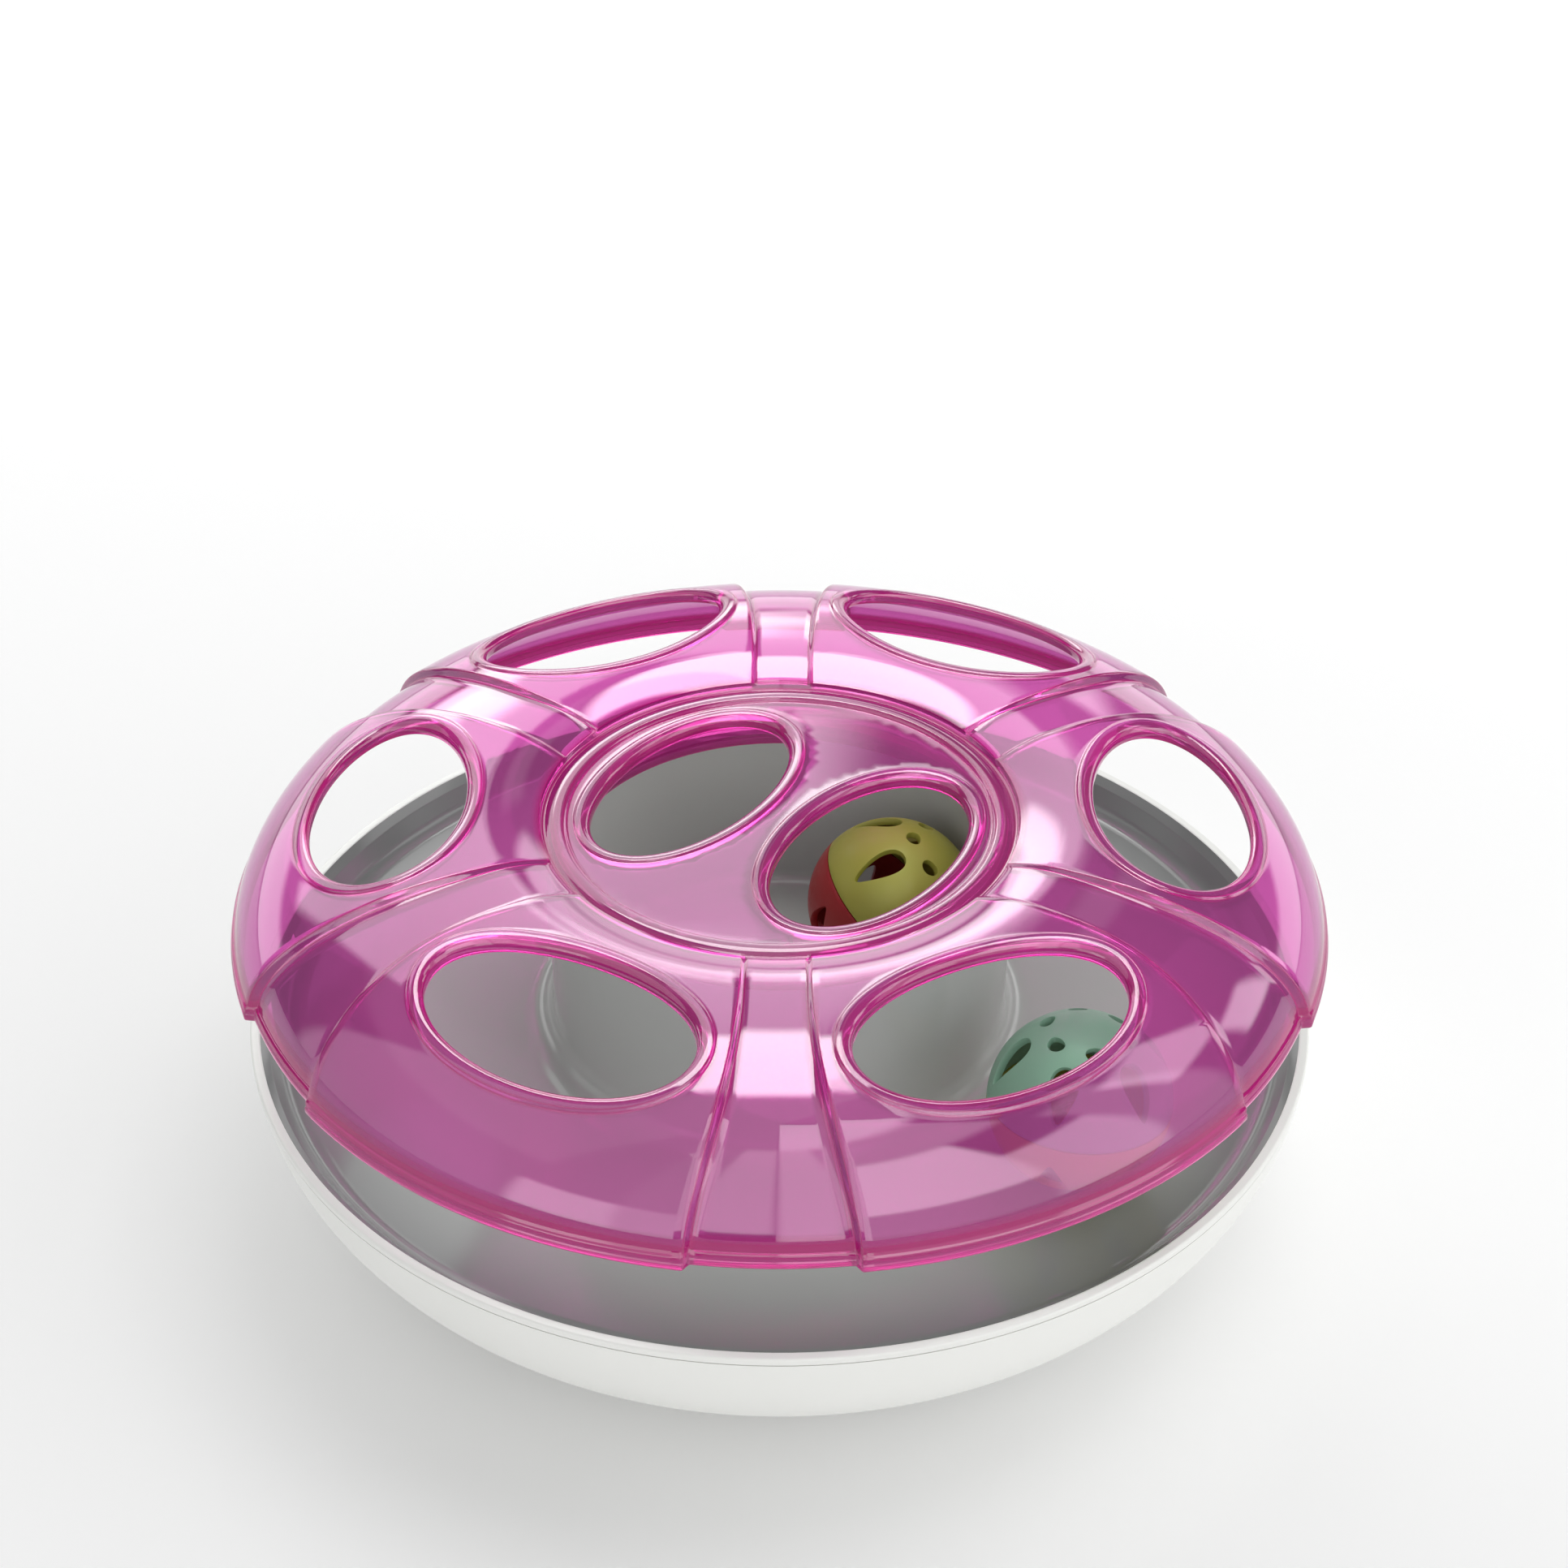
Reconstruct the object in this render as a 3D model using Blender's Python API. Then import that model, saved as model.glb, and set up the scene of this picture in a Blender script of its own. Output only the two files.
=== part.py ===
# Cat ball track toy: a white hull with a track tray, a see-through lid with eight paw holes,
# and two hollow balls with bells in them. Sizes below are millimetres; +Z is up and the
# origin is on the floor under the middle of the cup.

import math

import bmesh
import bpy
import numpy as np
from mathutils import Matrix, Vector

MM = 0.001
SEAT_GAP = 0.3  # between two pieces that rest on each other

# Hull
HULL_RADIUS = 123.5
RIM_HEIGHT = 49.4  # top of the tray's lip above the floor
FOOT_RADIUS = 69.0  # where the side's curve would meet the floor
HULL_WALL = 1.8
SIDE_POWER = 1.8  # the side is a superellipse
BASE_POWER = 1.84

# Rubber pads under the hull
PAD_RADIUS = 8.0
PAD_STAND = 1.2  # how far a pad stands out of the base
PAD_RECESS = 0.9
PAD_CIRCLE = 66.0
PAD_COUNT = 4
PAD_START = 45.0

# Screws that hold the tray to the hull
SCREW_COUNT = 4
SCREW_CIRCLE = 36.0
POST_RADIUS = 4.5
SCREW_RADIUS = 1.5
SCREW_LENGTH = 14.0
SCREW_HEAD_RADIUS = 3.0
SCREW_HEAD_HEIGHT = 1.8
SCREW_CLEARANCE = 0.3
BOSS_WALL = 1.8
BOSS_FLOOR = 2.0
COUNTERBORE_DEPTH = 2.6

# Tray
TRAY_WALL = 1.8
LIP_WIDTH = 2.1
LIP_THICKNESS = 1.5
FLOOR_HEIGHT = 41.7  # top of the track floor
TRACK_INSET = 7.9  # from the hull's side in to the foot of the track wall
TRACK_FILLET = 6.0
LIP_BEVEL = 0.5
WALL_TOP_INSET = 2.0  # the track wall starts this far inside the lip
WALL_TOP_DROP = 2.0
WALL_TOP_BEVEL = 1.2
CUP_RADIUS = 53.1
CUP_WALL = 2.1
CUP_HEIGHT = 87.1
CUP_FILLET = 7.5
CUP_FLOOR_FILLET = 4.0

# Lid
LID_INSET = 1.1  # from the hull's side in to the channels at the lid's rim
LID_WALL = 2.2
RIM_DROP = 13.8  # the lid's lowest edge below its seat on the cup
RIM_BAND = 3.4
RIM_BEADS = (0.6, 1.1)  # the rim's two small steps
RIM_EDGE = 2.6
BEAD_BEVEL = 0.3
DOME_FOOT = 1.0  # the dome's curve would end this far above the lowest edge
CROWN_RADIUS = 69.2
CROWN_RISE = 13.7
SHOULDER_POWER = 2.35
CROWN_POWER = 1.85
RING_RADIUS = 54.6
RING_DROP = 1.5  # from the ring's edge down to the dish
DISH_RISE = 9.3  # the dish above the lid's seat
DISH_WALL = 2.2
GROOVE_WIDTH = 1.4
GROOVE_STEP = 0.6
RIB_WIDTH = 5.0
RIB_HEIGHT = 0.9
RIB_SIDE = 1.3
SKIRT_STAND = 0.2  # the skirt stands this far out of the cup's wall
SKIRT_WALL = 2.0
SKIRT_FILLET = 2.4
SPIGOT_DEPTH = 3.0
SPIGOT_WALL = 1.8
SPIGOT_CLEARANCE = 0.4

# Petals and the channels between them
PETAL_COUNT = 6
PETAL_STEP = 2.0
RING_STEP = 0.4
STEP_FULL_INSET = 27.4  # from the lid's rim in to where the petals reach their full height
CHANNEL_NARROW = 6.0  # half width at the ring
CHANNEL_FLARE = 10.1  # what the flare adds at the rim
FLARE_POWER = 2.75
CHANNEL_SIDE_RUN = 1.6

# Paw holes, all of one size: six in the petals and two in the dish
HOLE_LONG = 31.5
HOLE_SHORT = 17.7
PETAL_HOLE_OUT = 0.1  # further out than midway between the ring and the rim
DISH_HOLE_CIRCLE = 24.1
DISH_HOLE_ANGLE = 148.2
FLANGE_WALL = 2.6
FLANGE_DEPTH = 3.4  # from the surface down to the lower edge of a hole's rim
FLANGE_BEVEL = 0.8
LIP_ROLL = 1.6  # the hole's upper edge below the surface
LIP_PROUD = 0.4
LIP_REACH = 3.9
LIP_ROOT = 1.1
LIP_BITE = 1.9  # how far the lip laps onto the wall round it

# Balls
BALL_RADIUS = 20.0
BALL_WALL = 1.6
TEAR_NEAR = 37.0  # degrees from the pole to the round end of a long hole
TEAR_FAR = 75.0
TEAR_WIDTH = 17.0
TEAR_TAPER = 0.45
OVAL_POLAR = 26.5
OVAL_LONG = 12.5
OVAL_SHORT = 10.0
HOLES_ROUND = 6
TRACK_BALL_GAP = 8.4  # between the track's wall and the ball
TRACK_BALL_AT = -41.4
CUP_BALL_AT = 29.3
WALL_GAP = 0.6  # between the cup's wall and the ball beside it
TRACK_BALL_POLE = (0.044, 0.093, 0.995)
TRACK_BALL_SPIN = 187.9
CUP_BALL_POLE = (0.64, -0.036, 0.767)
CUP_BALL_SPIN = 206.7

# Bells
BELL_RADIUS = 7.5
BELL_GAP = 0.9  # under the bell, so the ball's flat facets clear it as the ball rolls
BELL_WALL = 0.6
BELL_FLANGE = 0.8
BELL_SLOT = 1.4
BELL_SLOT_REACH = 10.8
BELL_SLOT_TOP = -2.7  # from the bell's middle
BELL_LOOP_RADIUS = 1.6
BELL_LOOP_WIRE = 0.45
PELLET_RADIUS = 1.8

# Facets
FINE_RADIUS = 1.5  # a smaller rounding is one bevel
CUT_PAST = 1.0  # how far a cutter runs past the face that it opens
DIP_SHARES = (0, 0.35, 0.7)
ROUND_STEPS = 48
SIDE_ROWS = 10
INSIDE_ROWS = 7
PETAL_SPANS = 5
DOME_ROWS = 9
FINE_ROWS = 40
INNER_ROWS = 5
HOLE_STEPS = 24
BALL_STEPS = 18
BALL_ROWS = 5
TEAR_STEPS = 8
OVAL_STEPS = 6
PAD_STEPS = 16
POST_STEPS = 10
BELL_STEPS = 12
BELL_ROWS = 4
LOOP_STEPS = 8

base_z = PAD_STAND
floor_under = FLOOR_HEIGHT - TRAY_WALL
cup_inner = CUP_RADIUS - CUP_WALL
track_radius = HULL_RADIUS - TRACK_INSET
lid_radius = HULL_RADIUS - LID_INSET
step_full_radius = lid_radius - STEP_FULL_INSET
petal_hole_circle = (RING_RADIUS + lid_radius) / 2 + PETAL_HOLE_OUT
hull_top = RIM_HEIGHT - LIP_THICKNESS - SEAT_GAP
seat_z = CUP_HEIGHT + SEAT_GAP
lid_bottom = seat_z - RIM_DROP
band_top = lid_bottom + RIM_BAND
dome_foot = lid_bottom + DOME_FOOT
crown_z = seat_z + CROWN_RISE
dish_z = seat_z + DISH_RISE
ring_z = dish_z + RING_DROP
petal_pitch = 360 / PETAL_COUNT
track_orbit = track_radius - BALL_RADIUS - TRACK_BALL_GAP
cup_orbit = cup_inner - BALL_RADIUS - WALL_GAP
ball_centre_z = FLOOR_HEIGHT + SEAT_GAP + BALL_RADIUS


def material(name, colour, roughness, alpha=1.0, metallic=0.0):
    made = bpy.data.materials.new(name)
    made.use_nodes = True
    shader = made.node_tree.nodes["Principled BSDF"]
    shader.inputs["Base Color"].default_value = (*colour, 1)
    shader.inputs["Roughness"].default_value = roughness
    shader.inputs["Metallic"].default_value = metallic
    shader.inputs["Alpha"].default_value = alpha
    made.diffuse_color = (*colour, alpha)
    return made


def new_object(name, mesh_data, finish=None, helper=False, origin=(0, 0, 0)):
    """An object whose mesh comes from a bmesh in millimetres, with its faces pointing out."""
    bmesh.ops.recalc_face_normals(mesh_data, faces=mesh_data.faces)
    mesh_data.transform(Matrix.Scale(MM, 4) @ Matrix.Translation(-Vector(origin)))
    mesh = bpy.data.meshes.new(name)
    mesh_data.to_mesh(mesh)
    mesh_data.free()
    mesh.shade_smooth()
    mesh.set_sharp_from_angle(angle=math.radians(35))
    made = bpy.data.objects.new(name, mesh)
    made.location = Vector(origin) * MM
    bpy.context.scene.collection.objects.link(made)
    if finish:
        mesh.materials.append(finish)
    if helper:
        made.hide_render = True
        made.display_type = "WIRE"
    return made


def skin(into, rows, loop=False):
    """Bridges rows of points with faces. A row of one point is a pole; loop joins last to first."""
    made = [[into.verts.new(point) for point in row] for row in rows]
    pairs = list(zip(made, made[1:])) + ([(made[-1], made[0])] if loop else [])
    for one, two in pairs:
        count = max(len(one), len(two))
        for index in range(count):
            after = (index + 1) % count
            corners = [one[index % len(one)], one[after % len(one)]]
            corners += [two[after % len(two)], two[index % len(two)]]
            into.faces.new(list(dict.fromkeys(corners)))


def lathe(into, profile, steps, at=(0, 0)):
    """Turns a profile of (radius, height) about an upright axis. Radius 0 makes a pole."""
    turns = [360 * index / steps for index in range(steps)]
    rows = []
    for radius, height in profile:
        ring = [on_circle(radius, turn) for turn in (turns if radius else (0,))]
        rows.append([(at[0] + x, at[1] + y, height) for x, y in ring])
    skin(into, rows)


def column(into, radius, low, high, steps, at):
    lathe(into, [(0, low), (radius, low), (radius, high), (0, high)], steps, at)


def rounded(corners):
    """A chain of (x, y, radius) corners with each radius turned into a bevel, or an arc if large."""
    points = []
    for index, (x, y, radius) in enumerate(corners):
        if radius == 0:
            points.append((x, y))
            continue
        here = np.array((x, y))
        back = np.array(corners[index - 1][:2]) - here
        ahead = np.array(corners[index + 1][:2]) - here
        back, ahead = back / np.linalg.norm(back), ahead / np.linalg.norm(ahead)
        half = math.acos(np.clip(back @ ahead, -1, 1)) / 2
        middle = back + ahead
        centre = here + middle / np.linalg.norm(middle) * radius / math.sin(half)
        arc_steps = 1 if radius < FINE_RADIUS else 3
        start = here + back * radius / math.tan(half) - centre
        end = here + ahead * radius / math.tan(half) - centre
        for step in range(arc_steps + 1):
            share = step / arc_steps
            turn = math.pi - 2 * half
            spoke = (math.sin((1 - share) * turn) * start + math.sin(share * turn) * end) / math.sin(turn)
            points.append(tuple(centre + spoke))
    return points


def normals_of(points):
    """Unit normals of a chain in the plane, on the left of its run."""
    slopes = np.gradient(np.array(points), axis=0)
    sides = np.stack([-slopes[:, 1], slopes[:, 0]], axis=1)
    return sides / np.linalg.norm(sides, axis=1)[:, None]


def boolean(target, helper, operation):
    change = target.modifiers.new(helper.name, "BOOLEAN")
    change.operation = operation
    change.object = helper
    change.solver = "EXACT"


def on_circle(radius, degrees):
    return radius * math.cos(math.radians(degrees)), radius * math.sin(math.radians(degrees))


def pad_places():
    return [on_circle(PAD_CIRCLE, PAD_START + 360 * n / PAD_COUNT) for n in range(PAD_COUNT)]


def screw_places():
    return [on_circle(SCREW_CIRCLE, 360 * n / SCREW_COUNT) for n in range(SCREW_COUNT)]


# Hull: a turned shell with a flat base, four pad recesses and four screw bosses


def hull_side(rows):
    """The outside of the hull, from the base up to the edge that carries the lip."""
    first, last = (math.acos((1 - z / RIM_HEIGHT) ** (BASE_POWER / 2)) for z in (base_z, hull_top))
    points = []
    for turn in np.linspace(first, last, rows):
        radius = FOOT_RADIUS + (HULL_RADIUS - FOOT_RADIUS) * math.sin(turn) ** (2 / SIDE_POWER)
        points.append((radius, RIM_HEIGHT * (1 - math.cos(turn) ** (2 / BASE_POWER))))
    return points


def make_hull(white):
    outside = hull_side(SIDE_ROWS)
    inside_from = hull_side(INSIDE_ROWS)
    inside = [tuple(np.array(p) + HULL_WALL * n) for p, n in zip(inside_from, normals_of(inside_from))]
    inside[-1] = (outside[-1][0] - HULL_WALL, hull_top)
    profile = [(0, base_z)] + outside + inside[::-1] + [(0, base_z + HULL_WALL)]
    shell = bmesh.new()
    lathe(shell, profile, ROUND_STEPS)
    hull = new_object("base_shell", shell, white)

    bosses = bmesh.new()
    heads = bmesh.new()
    cuts = bmesh.new()
    head_bore = SCREW_HEAD_RADIUS + SCREW_CLEARANCE
    shank_bore = SCREW_RADIUS + SCREW_CLEARANCE
    shelf = base_z + COUNTERBORE_DEPTH
    boss_top = shelf + BOSS_FLOOR
    for place in screw_places():
        column(bosses, head_bore + BOSS_WALL, base_z + HULL_WALL / 2, boss_top, POST_STEPS, place)
        column(cuts, shank_bore, shelf - CUT_PAST, boss_top + CUT_PAST, POST_STEPS, place)
        column(heads, head_bore, base_z - CUT_PAST, shelf, POST_STEPS, place)
    for place in pad_places():
        column(cuts, PAD_RADIUS + SEAT_GAP, base_z - CUT_PAST, base_z + PAD_RECESS, PAD_STEPS, place)
    boolean(hull, new_object("hull_bosses", bosses, helper=True), "UNION")
    boolean(hull, new_object("hull_head_bores", heads, helper=True), "DIFFERENCE")
    boolean(hull, new_object("hull_cuts", cuts, helper=True), "DIFFERENCE")


def make_pads(rubber):
    top = base_z + PAD_RECESS - SEAT_GAP
    bevel = PAD_STAND / 2
    rim = [(PAD_RADIUS - bevel, 0), (PAD_RADIUS, bevel), (PAD_RADIUS, top)]
    for number, place in enumerate(pad_places(), start=1):
        pad = bmesh.new()
        lathe(pad, [(0, 0), *rim, (0, top)], PAD_STEPS, place)
        new_object(f"foot_pad_{number}", pad, rubber)


# Tray: rim lip, track floor and the cup, turned in one piece, with four screw posts beneath


def make_tray(white):
    lip_inner = HULL_RADIUS - LIP_WIDTH
    wall_top = np.array((lip_inner - WALL_TOP_INSET, RIM_HEIGHT - WALL_TOP_DROP))
    wall_run = wall_top - np.array((track_radius, FLOOR_HEIGHT))
    wall_out = np.array((wall_run[1], -wall_run[0])) / np.linalg.norm(wall_run) * TRAY_WALL
    under_top = wall_top + wall_out
    under_foot = track_radius + wall_out[0] - (TRAY_WALL + wall_out[1]) * wall_run[0] / wall_run[1]
    hull_fit = HULL_RADIUS - HULL_WALL - SEAT_GAP
    lip_under = RIM_HEIGHT - LIP_THICKNESS
    corners = [
        (0, FLOOR_HEIGHT, 0),
        (cup_inner, FLOOR_HEIGHT, CUP_FLOOR_FILLET),
        (cup_inner, CUP_HEIGHT, LIP_BEVEL),
        (CUP_RADIUS, CUP_HEIGHT, LIP_BEVEL),
        (CUP_RADIUS, FLOOR_HEIGHT, CUP_FILLET),
        (track_radius, FLOOR_HEIGHT, TRACK_FILLET),
        (*wall_top, WALL_TOP_BEVEL),
        (lip_inner, RIM_HEIGHT, LIP_BEVEL),
        (HULL_RADIUS, RIM_HEIGHT, LIP_BEVEL),
        (HULL_RADIUS, lip_under, 0),
        (hull_fit, lip_under, 0),
        (*under_top, 0),
        (under_foot, floor_under, WALL_TOP_BEVEL),
        (0, floor_under, 0),
    ]
    shell = bmesh.new()
    lathe(shell, rounded(corners), ROUND_STEPS)
    tray = new_object("track_tray", shell, white)

    posts = bmesh.new()
    bores = bmesh.new()
    shelf = base_z + COUNTERBORE_DEPTH
    post_foot = shelf + BOSS_FLOOR + SEAT_GAP
    bore = SCREW_RADIUS + SCREW_CLEARANCE
    for place in screw_places():
        column(posts, POST_RADIUS, post_foot, floor_under + TRAY_WALL / 2, POST_STEPS, place)
        column(bores, bore, post_foot - CUT_PAST, shelf + SCREW_LENGTH + CUT_PAST, POST_STEPS, place)
    boolean(tray, new_object("tray_posts", posts, helper=True), "UNION")
    boolean(tray, new_object("tray_bores", bores, helper=True), "DIFFERENCE")


def make_screws(steel):
    """Self-tapping screws, heads down in the hull's counterbores."""
    head_top = base_z + COUNTERBORE_DEPTH - SEAT_GAP
    head_foot = head_top - SCREW_HEAD_HEIGHT
    tip = head_top + SCREW_LENGTH
    bevel = SCREW_HEAD_HEIGHT / 4
    head = [(SCREW_HEAD_RADIUS - bevel, head_foot), (SCREW_HEAD_RADIUS, head_foot + bevel)]
    shank = [(SCREW_HEAD_RADIUS, head_top), (SCREW_RADIUS, head_top), (SCREW_RADIUS, tip - SCREW_RADIUS)]
    for number, place in enumerate(screw_places(), start=1):
        screw = bmesh.new()
        lathe(screw, [(0, head_foot), *head, *shank, (0, tip)], POST_STEPS, place)
        new_object(f"tray_screw_{number}", screw, steel)


# Lid: a dome with six raised petals round a shallow dish, a skirt on the cup, and flanged holes


def dome_curve(rows):
    """The channel floors' outline, ring to rim band, as (radius, height)."""
    points = []
    for share in DIP_SHARES:
        radius = RING_RADIUS + (CROWN_RADIUS - RING_RADIUS) * share
        points.append((radius, crown_z - (crown_z - ring_z) * (1 - share) ** 2))
    rise = crown_z - dome_foot
    last = math.acos(((band_top - dome_foot) / rise) ** (CROWN_POWER / 2))
    for turn in np.linspace(0, last, rows):
        radius = CROWN_RADIUS + (lid_radius - CROWN_RADIUS) * math.sin(turn) ** (2 / SHOULDER_POWER)
        points.append((radius, dome_foot + rise * math.cos(turn) ** (2 / CROWN_POWER)))
    return points


def petal_lift(radius):
    """How far a petal stands out of the channel floor at this radius."""
    share = np.clip((radius - RING_RADIUS) / (step_full_radius - RING_RADIUS), 0, 1)
    return RING_STEP + (PETAL_STEP - RING_STEP) * share * share * (3 - 2 * share)


def lid_columns(radius):
    """(azimuth in degrees, whether it is on a petal) of each column of points at this radius."""
    at = max(radius, RING_RADIUS)
    share = min((at - RING_RADIUS) / (lid_radius - RING_RADIUS), 1)
    half = math.degrees(math.asin((CHANNEL_NARROW + CHANNEL_FLARE * share**FLARE_POWER) / at))
    top = half + math.degrees(CHANNEL_SIDE_RUN / at)
    spans = [(0, 0), (half, 0), (top, 1)]
    spans += [(top + (petal_pitch - 2 * top) * n / PETAL_SPANS, 1) for n in range(1, PETAL_SPANS)]
    spans += [(petal_pitch - top, 1), (petal_pitch - half, 0)]
    start = petal_pitch / 2
    return [(start + petal_pitch * n + turn, petal) for n in range(PETAL_COUNT) for turn, petal in spans]


def lid_row(point, normal=(0, 0), lift=0.0):
    """The points round the lid at one place of its outline; petals are lifted along normal."""
    row = []
    for degrees, petal in lid_columns(point[0]):
        radius = point[0] + petal * lift * normal[0]
        row.append((*on_circle(radius, degrees), point[1] + petal * lift * normal[1]))
    return row


def petal_height(radius):
    """Height of a petal's outside at a plan radius."""
    points = dome_curve(FINE_ROWS)
    lifted = [np.array(p) + petal_lift(p[0]) * n for p, n in zip(points, normals_of(points))]
    return float(np.interp(radius, [p[0] for p in lifted], [p[1] for p in lifted]))


def lid_rows():
    outside = dome_curve(DOME_ROWS)
    facing = normals_of(outside)
    rib_out = RING_RADIUS - GROOVE_WIDTH
    rib_in = rib_out - RIB_WIDTH
    dish = [
        (rib_in, dish_z),
        (rib_in + RIB_SIDE, dish_z + RIB_HEIGHT),
        (rib_out - 2 * RIB_SIDE, dish_z + RIB_HEIGHT),
        (rib_out, dish_z),
        (RING_RADIUS - GROOVE_WIDTH / 2, dish_z + GROOVE_STEP),
    ]
    rows = [[(0, 0, dish_z)]] + [lid_row(point) for point in dish]
    rows += [lid_row(p, n, petal_lift(p[0])) for p, n in zip(outside, facing)]

    first, second = (lid_radius + bead for bead in RIM_BEADS)
    middle = (band_top + lid_bottom) / 2
    band = [(first, band_top - BEAD_BEVEL), (first, middle), (second, middle - BEAD_BEVEL)]
    band += [(second, lid_bottom), (second - RIM_EDGE, lid_bottom)]
    rows += [lid_row(point, (1, 0), PETAL_STEP) for point in band]

    inner_from = dome_curve(INNER_ROWS)
    inner = [np.array(p) - LID_WALL * n for p, n in zip(inner_from, normals_of(inner_from))]
    rows += [
        lid_row(tuple(p), n, petal_lift(q[0]))
        for p, n, q in reversed(list(zip(inner, normals_of(inner_from), inner_from)))
    ]

    skirt_outer = CUP_RADIUS + SKIRT_STAND
    skirt_inner = skirt_outer - SKIRT_WALL
    spigot_outer = cup_inner - SPIGOT_CLEARANCE
    spigot_inner = spigot_outer - SPIGOT_WALL
    under = dish_z - DISH_WALL
    skirt = [
        (skirt_outer, inner[0][1] - SKIRT_FILLET),
        (skirt_outer, seat_z),
        (spigot_outer, seat_z),
        (spigot_outer, seat_z - SPIGOT_DEPTH),
        (spigot_inner, seat_z - SPIGOT_DEPTH),
        (spigot_inner, seat_z),
        (skirt_inner, seat_z + SKIRT_WALL),
        (skirt_inner, under),
    ]
    return rows + [lid_row(point) for point in skirt] + [[(0, 0, under)]]


def hole_places():
    """(distance from the axis, azimuth, height of the surface there as a function of radius)."""
    petals = [(petal_hole_circle, petal_pitch * n, petal_height) for n in range(PETAL_COUNT)]
    dish = [(DISH_HOLE_CIRCLE, DISH_HOLE_ANGLE + turn, lambda radius: dish_z) for turn in (0, 180)]
    return petals + dish


def hole_outline(distance, azimuth, outset):
    """Points of a hole's ellipse, grown outwards by outset, seen from above."""
    turn = math.radians(azimuth)
    points = []
    for index in range(HOLE_STEPS):
        angle = 2 * math.pi * index / HOLE_STEPS
        across, along = math.cos(angle), math.sin(angle)
        normal = np.array((along * HOLE_LONG, across * HOLE_SHORT))
        normal /= np.linalg.norm(normal)
        radial = distance + HOLE_SHORT * along + outset * normal[0]
        tangent = HOLE_LONG * across + outset * normal[1]
        x = radial * math.cos(turn) - tangent * math.sin(turn)
        points.append((x, radial * math.sin(turn) + tangent * math.cos(turn)))
    return points


def make_lid(pink):
    shell = bmesh.new()
    skin(shell, lid_rows())
    lid = new_object("lid", shell, pink)

    # Each rim: a rolled lip that stands a little proud, and a flange that hangs below it
    section = [
        (0, -LIP_ROLL),
        (LIP_ROLL / 3, -LIP_ROLL / 3),
        (LIP_ROLL, LIP_PROUD / 2),
        (LIP_REACH, LIP_PROUD),
        (LIP_REACH, -LIP_ROOT),
        (FLANGE_WALL, -LIP_ROOT),
        (FLANGE_WALL, FLANGE_BEVEL - FLANGE_DEPTH),
        (FLANGE_WALL - FLANGE_BEVEL, -FLANGE_DEPTH),
        (0, -FLANGE_DEPTH),
    ]
    rims = bmesh.new()
    cuts = bmesh.new()
    for distance, azimuth, height in hole_places():
        rows = []
        for outset, drop in section:
            outline = hole_outline(distance, azimuth, outset)
            rows.append([(x, y, height(math.hypot(x, y)) + drop) for x, y in outline])
        skin(rims, rows, loop=True)
        outline = hole_outline(distance, azimuth, LIP_REACH - LIP_BITE)
        middle = on_circle(distance, azimuth)
        low = height(distance) - HOLE_SHORT
        high = crown_z + HOLE_SHORT
        ends = [[(x, y, z) for x, y in outline] for z in (low, high)]
        skin(cuts, [[(*middle, low)], *ends, [(*middle, high)]])
    boolean(lid, new_object("lid_hole_cuts", cuts, helper=True), "DIFFERENCE")
    boolean(lid, new_object("lid_hole_rims", rims, helper=True), "UNION")


# Balls: two snapped halves each, with long tear-shaped holes and small ovals round both poles


def ball_frame(pole, spin):
    """Axes (x, y, pole) of a ball whose long holes start at the azimuth spin."""
    up = np.array(pole) / np.linalg.norm(pole)
    towards = np.array((*on_circle(1, spin), 0.0))
    x = towards - up * (towards @ up)
    x /= np.linalg.norm(x)
    return np.stack([x, np.cross(up, x), up])


def ball_point(azimuth, polar, reach, frame):
    """A point at this distance from the ball's centre, in degrees about its poles."""
    x, y = on_circle(math.sin(math.radians(polar)), azimuth)
    return tuple(reach * np.array((x, y, math.cos(math.radians(polar)))) @ frame)


def hole_cut(into, azimuth, polar, long_half, wide_half, taper, steps, frame):
    """A cutter through the wall: an oval along the meridian, tapered away from the pole."""
    outline = []
    for turn in np.linspace(0, 2 * math.pi, steps, endpoint=False):
        wide = wide_half * math.sin(turn) * (1 - taper * math.cos(turn))
        down = polar + long_half * math.cos(turn)
        outline.append((azimuth + wide / math.sin(math.radians(down)), down))
    near, far = BALL_RADIUS - BALL_WALL - CUT_PAST, BALL_RADIUS + CUT_PAST
    ends = [[ball_point(a, p, reach, frame) for a, p in outline] for reach in (near, far)]
    skin(into, [[ball_point(azimuth, polar, near, frame)], *ends, [ball_point(azimuth, polar, far, frame)]])


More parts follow.
